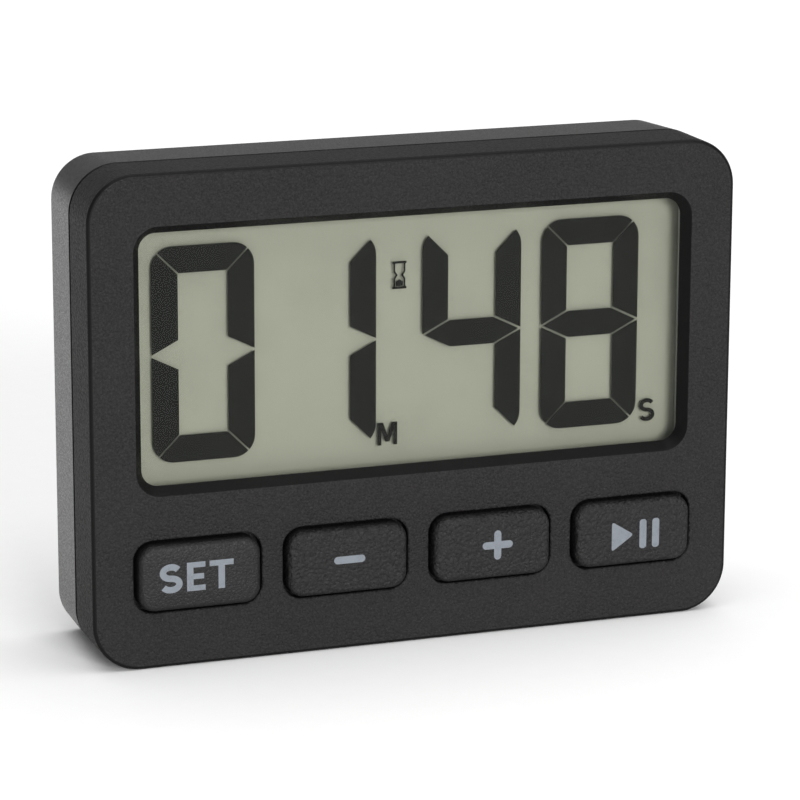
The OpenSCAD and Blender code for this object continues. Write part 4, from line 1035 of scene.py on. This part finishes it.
turn_r = 1.0
round_top = [(pivot_d + turn_r * math.cos(math.radians(a)), pivot_z + turn_r * math.sin(math.radians(a)))
             for a in range(12, 90, 12)]
flap = section_along_x("stand_moulded", [
    (stand_d1, stand_z0 + 0.5), (stand_d1, pivot_z)] + round_top + [
    (pivot_d + 0.02, pivot_z + turn_r), (pivot_d, stand_z1 - 0.15), (pivot_d - 0.15, stand_z1),
    (stand_d0 + 0.15, stand_z1), (stand_d0, stand_z1 - 0.15), (stand_d0, stand_z0 + 0.5),
    (stand_d0 + 0.15, stand_z0 + 0.12), (stand_d0 + 0.5, stand_z0), (stand_d1 - 0.5, stand_z0),
    (stand_d1 - 0.15, stand_z0 + 0.12)], -stand_half, stand_half, 0.18)
pins = skin("pins", rows_x(0, 0, 0, pivot_d, pivot_z, [
    (stand_x0, 0.6), (stand_x0 + 0.2, 0.8), (stand_x1 - 0.2, 0.8), (stand_x1, 0.6)], 6))
cut(flap, pins, way="UNION")
cut(flap, skin("field", rows(2 * stand_half - 5, 15.4, 1.6, 0, stand_z0 + 11.6, [
    (back_d - 0.75, -0.2), (back_d - 0.68, 0)] + [(d, 0.1 + g) for d, g in rim(stand_d1, 0.2)], 6)))
lines = skin("line", rows(2 * stand_half - 8, 0.7, 0.34, 0, stand_z0 + 1.55, [
    (stand_d1 - 0.4, -0.2), (stand_d1 - 0.3, -0.03), (stand_d1 - 0.05, 0.02), (stand_d1 + 0.3, 0.1)], 5))
grip = grown("stand_grip", rib_tree, {"Groove": lines, "Grooves": 2, "Pitch": 1.0 * mm,
                                      "Finish": rear_plastic})
bpy.data.objects.remove(lines)
cut(flap, grip)
finish_piece(flap, "stand", rear_plastic, ["stand"])

# ---- Magnets ----
# Two sintered discs with nickel plating, pressed in flush with the back so that the timer holds on to
# a refrigerator door.

nickel = plain_finish("magnet_nickel", (0.27, 0.27, 0.275), (0.34, 0.34, 0.34), 0.30, 900.0, 0.004, 1.0)
discs = skin("magnet_discs", *[round_rows(x, z, (
    [(seat_d + 0.02, magnet_r - 0.2), (seat_d + 0.22, magnet_r)]
    + corner((back_d - 0.27, magnet_r), (back_d - 0.02, magnet_r),
             (back_d - 0.02, magnet_r - 0.25), 4)), 16)
    for x, z in magnet_at])
finish_piece(discs, "case", nickel, ["magnets"])

# ---- Screws ----
# Thread-forming screws of zinc-plated steel with a domed cross-slot head: four long ones hold the
# halves together from the bottoms of the wells, and three shorter ones hold the board.

zinc = plain_finish("zinc_plating", (0.42, 0.42, 0.43), (0.58, 0.58, 0.58), 0.3, 1500.0, 0.004, 1.0)
screw_tree, given = new_tree("screw_set", {"Screw": "Object", "Most Turn": "Float", "Seed": "Int"})
shape = grow(screw_tree, "GeometryNodeObjectInfo", {"Object": given["Screw"]})
angle = grow(screw_tree, "FunctionNodeRandomValue", {"Max": given["Most Turn"], "Seed": given["Seed"]})
about = grow(screw_tree, "ShaderNodeCombineXYZ", {"Y": angle.outputs[1]})
spread = grow(screw_tree, "GeometryNodeInstanceOnPoints", {
    "Points": given["Geometry"], "Instance": shape.outputs["Geometry"], "Rotation": about.outputs[0]})
end_tree(screw_tree, given, spread)


def screw_set(name, tip_d, head_d, at, node, seed):
    """One screw with its head at depth head_d, repeated at each place with its slot turned at random."""
    threads = [(tip_d, 0.15), (tip_d + 0.5, 0.6)]
    d = tip_d + 0.6
    while d < head_d - 0.7:
        threads += [(d, 0.64), (d + 0.14, 0.85), (d + 0.2, 0.85), (d + 0.34, 0.64)]
        d += 0.5
    one = skin("one_screw", round_rows(0, 0, threads + [(head_d - 0.1, 0.8), (head_d, 0.85), (head_d, 1.5),
               (head_d + 0.1, head_r), (head_d + 0.4, head_r), (head_d + 0.7, 1.5), (head_d + 0.95, 1.2),
               (head_d + 1.07, 0.8), (head_d + 1.1, 0.4)], 6))
    slot = box_tool("slot", (-1.0, 1.0, head_d + 0.5, head_d + 1.4, -0.25, 0.25))
    cross = box_tool("cross", (-0.25, 0.25, head_d + 0.5, head_d + 1.4, -1.0, 1.0))
    cut(one, slot, cross)
    made = grown(name, screw_tree, {"Screw": one, "Most Turn": math.pi / 2, "Seed": seed, "Finish": zinc},
                 [(x * mm, 0, z * mm) for x, z in at])
    bpy.data.objects.remove(one)
    return finish_piece(made, "case", zinc, [node])


screw_set("case_screws_threaded", face_t + 1.1, well_floor, case_screw_at, "case_screws", 4)
screw_set("board_screws_threaded", face_t + 1.1, board_back, board_screw_at, "board_screws", 9)

# ---- Floor, light and camera ----
# A plain pale floor in a pale room, under soft light from two large lamps: one in front of the
# timer, which lights its face, and one overhead, which lights the floor.

floor_mesh = bpy.data.meshes.new("floor")
floor_half, floor_z = 6, -0.03 * mm
floor_mesh.from_pydata([(x * floor_half, y * floor_half, floor_z) for x, y in (
    (-1, -1), (1, -1), (1, 1), (-1, 1))], [], [(0, 1, 2, 3)])
floor = bpy.data.objects.new("floor", floor_mesh)
bpy.context.scene.collection.objects.link(floor)
paper, paper_tree, paper_place = new_finish("pale_paper")
paper_grain = noise(paper_tree, paper_place, 400.0, 3.0)
surface(paper, paper_tree, {
    "Base Color": ramp(paper_tree, paper_grain, (0.93, 0.93, 0.93, 1), (0.95, 0.95, 0.95, 1)),
    "Roughness": grey(paper_tree, paper_grain, 0.9, 1.0), "Specular IOR Level": 0.0})
floor_mesh.materials.append(paper)

world = bpy.data.worlds.new("pale_room")
bpy.context.scene.world = world
world.use_nodes = True
world.node_tree.nodes["Background"].inputs["Color"].default_value = (1.0, 1.0, 1.0, 1)
world.node_tree.nodes["Background"].inputs["Strength"].default_value = 0.32

for name, energy, angle, toward in (("front_lamp", 2.9, 26, (0.10, -1.2, 0.26)),
                                    ("top_lamp", 2.1, 80, (0.15, -0.05, 1.0))):
    lamp = bpy.data.objects.new(name, bpy.data.lights.new(name, "SUN"))
    lamp.data.energy, lamp.data.angle = energy, math.radians(angle)
    lamp.rotation_euler = Vector(toward).to_track_quat("Z", "Y").to_euler()
    bpy.context.scene.collection.objects.link(lamp)

scene = bpy.context.scene
scene.view_settings.view_transform = "Standard"
camera = bpy.data.objects.new("camera", bpy.data.cameras.new("camera"))
camera.data.sensor_width, camera.data.lens = 36.0, 170.1
camera.data.clip_start, camera.data.clip_end = 0.01, 30.0
yaw, pitch, roll = (math.radians(a) for a in (19.76, 14.17, 0.17))
ahead = Vector((math.sin(yaw) * math.cos(pitch), math.cos(yaw) * math.cos(pitch), -math.sin(pitch)))
right = Vector((math.cos(yaw), -math.sin(yaw), 0))
up = right.cross(ahead)
away, leftward, upward = 416.9, 2.11, 0.26
eye = Vector((0, face_y, case_mid * mm)) + (-away * ahead - leftward * right + upward * up) * mm
right, up = right * math.cos(roll) + up * math.sin(roll), up * math.cos(roll) - right * math.sin(roll)
turn = Matrix((right, up, -ahead)).transposed()
camera.matrix_world = Matrix.Translation(eye) @ turn.to_4x4()
scene.collection.objects.link(camera)
scene.camera = camera
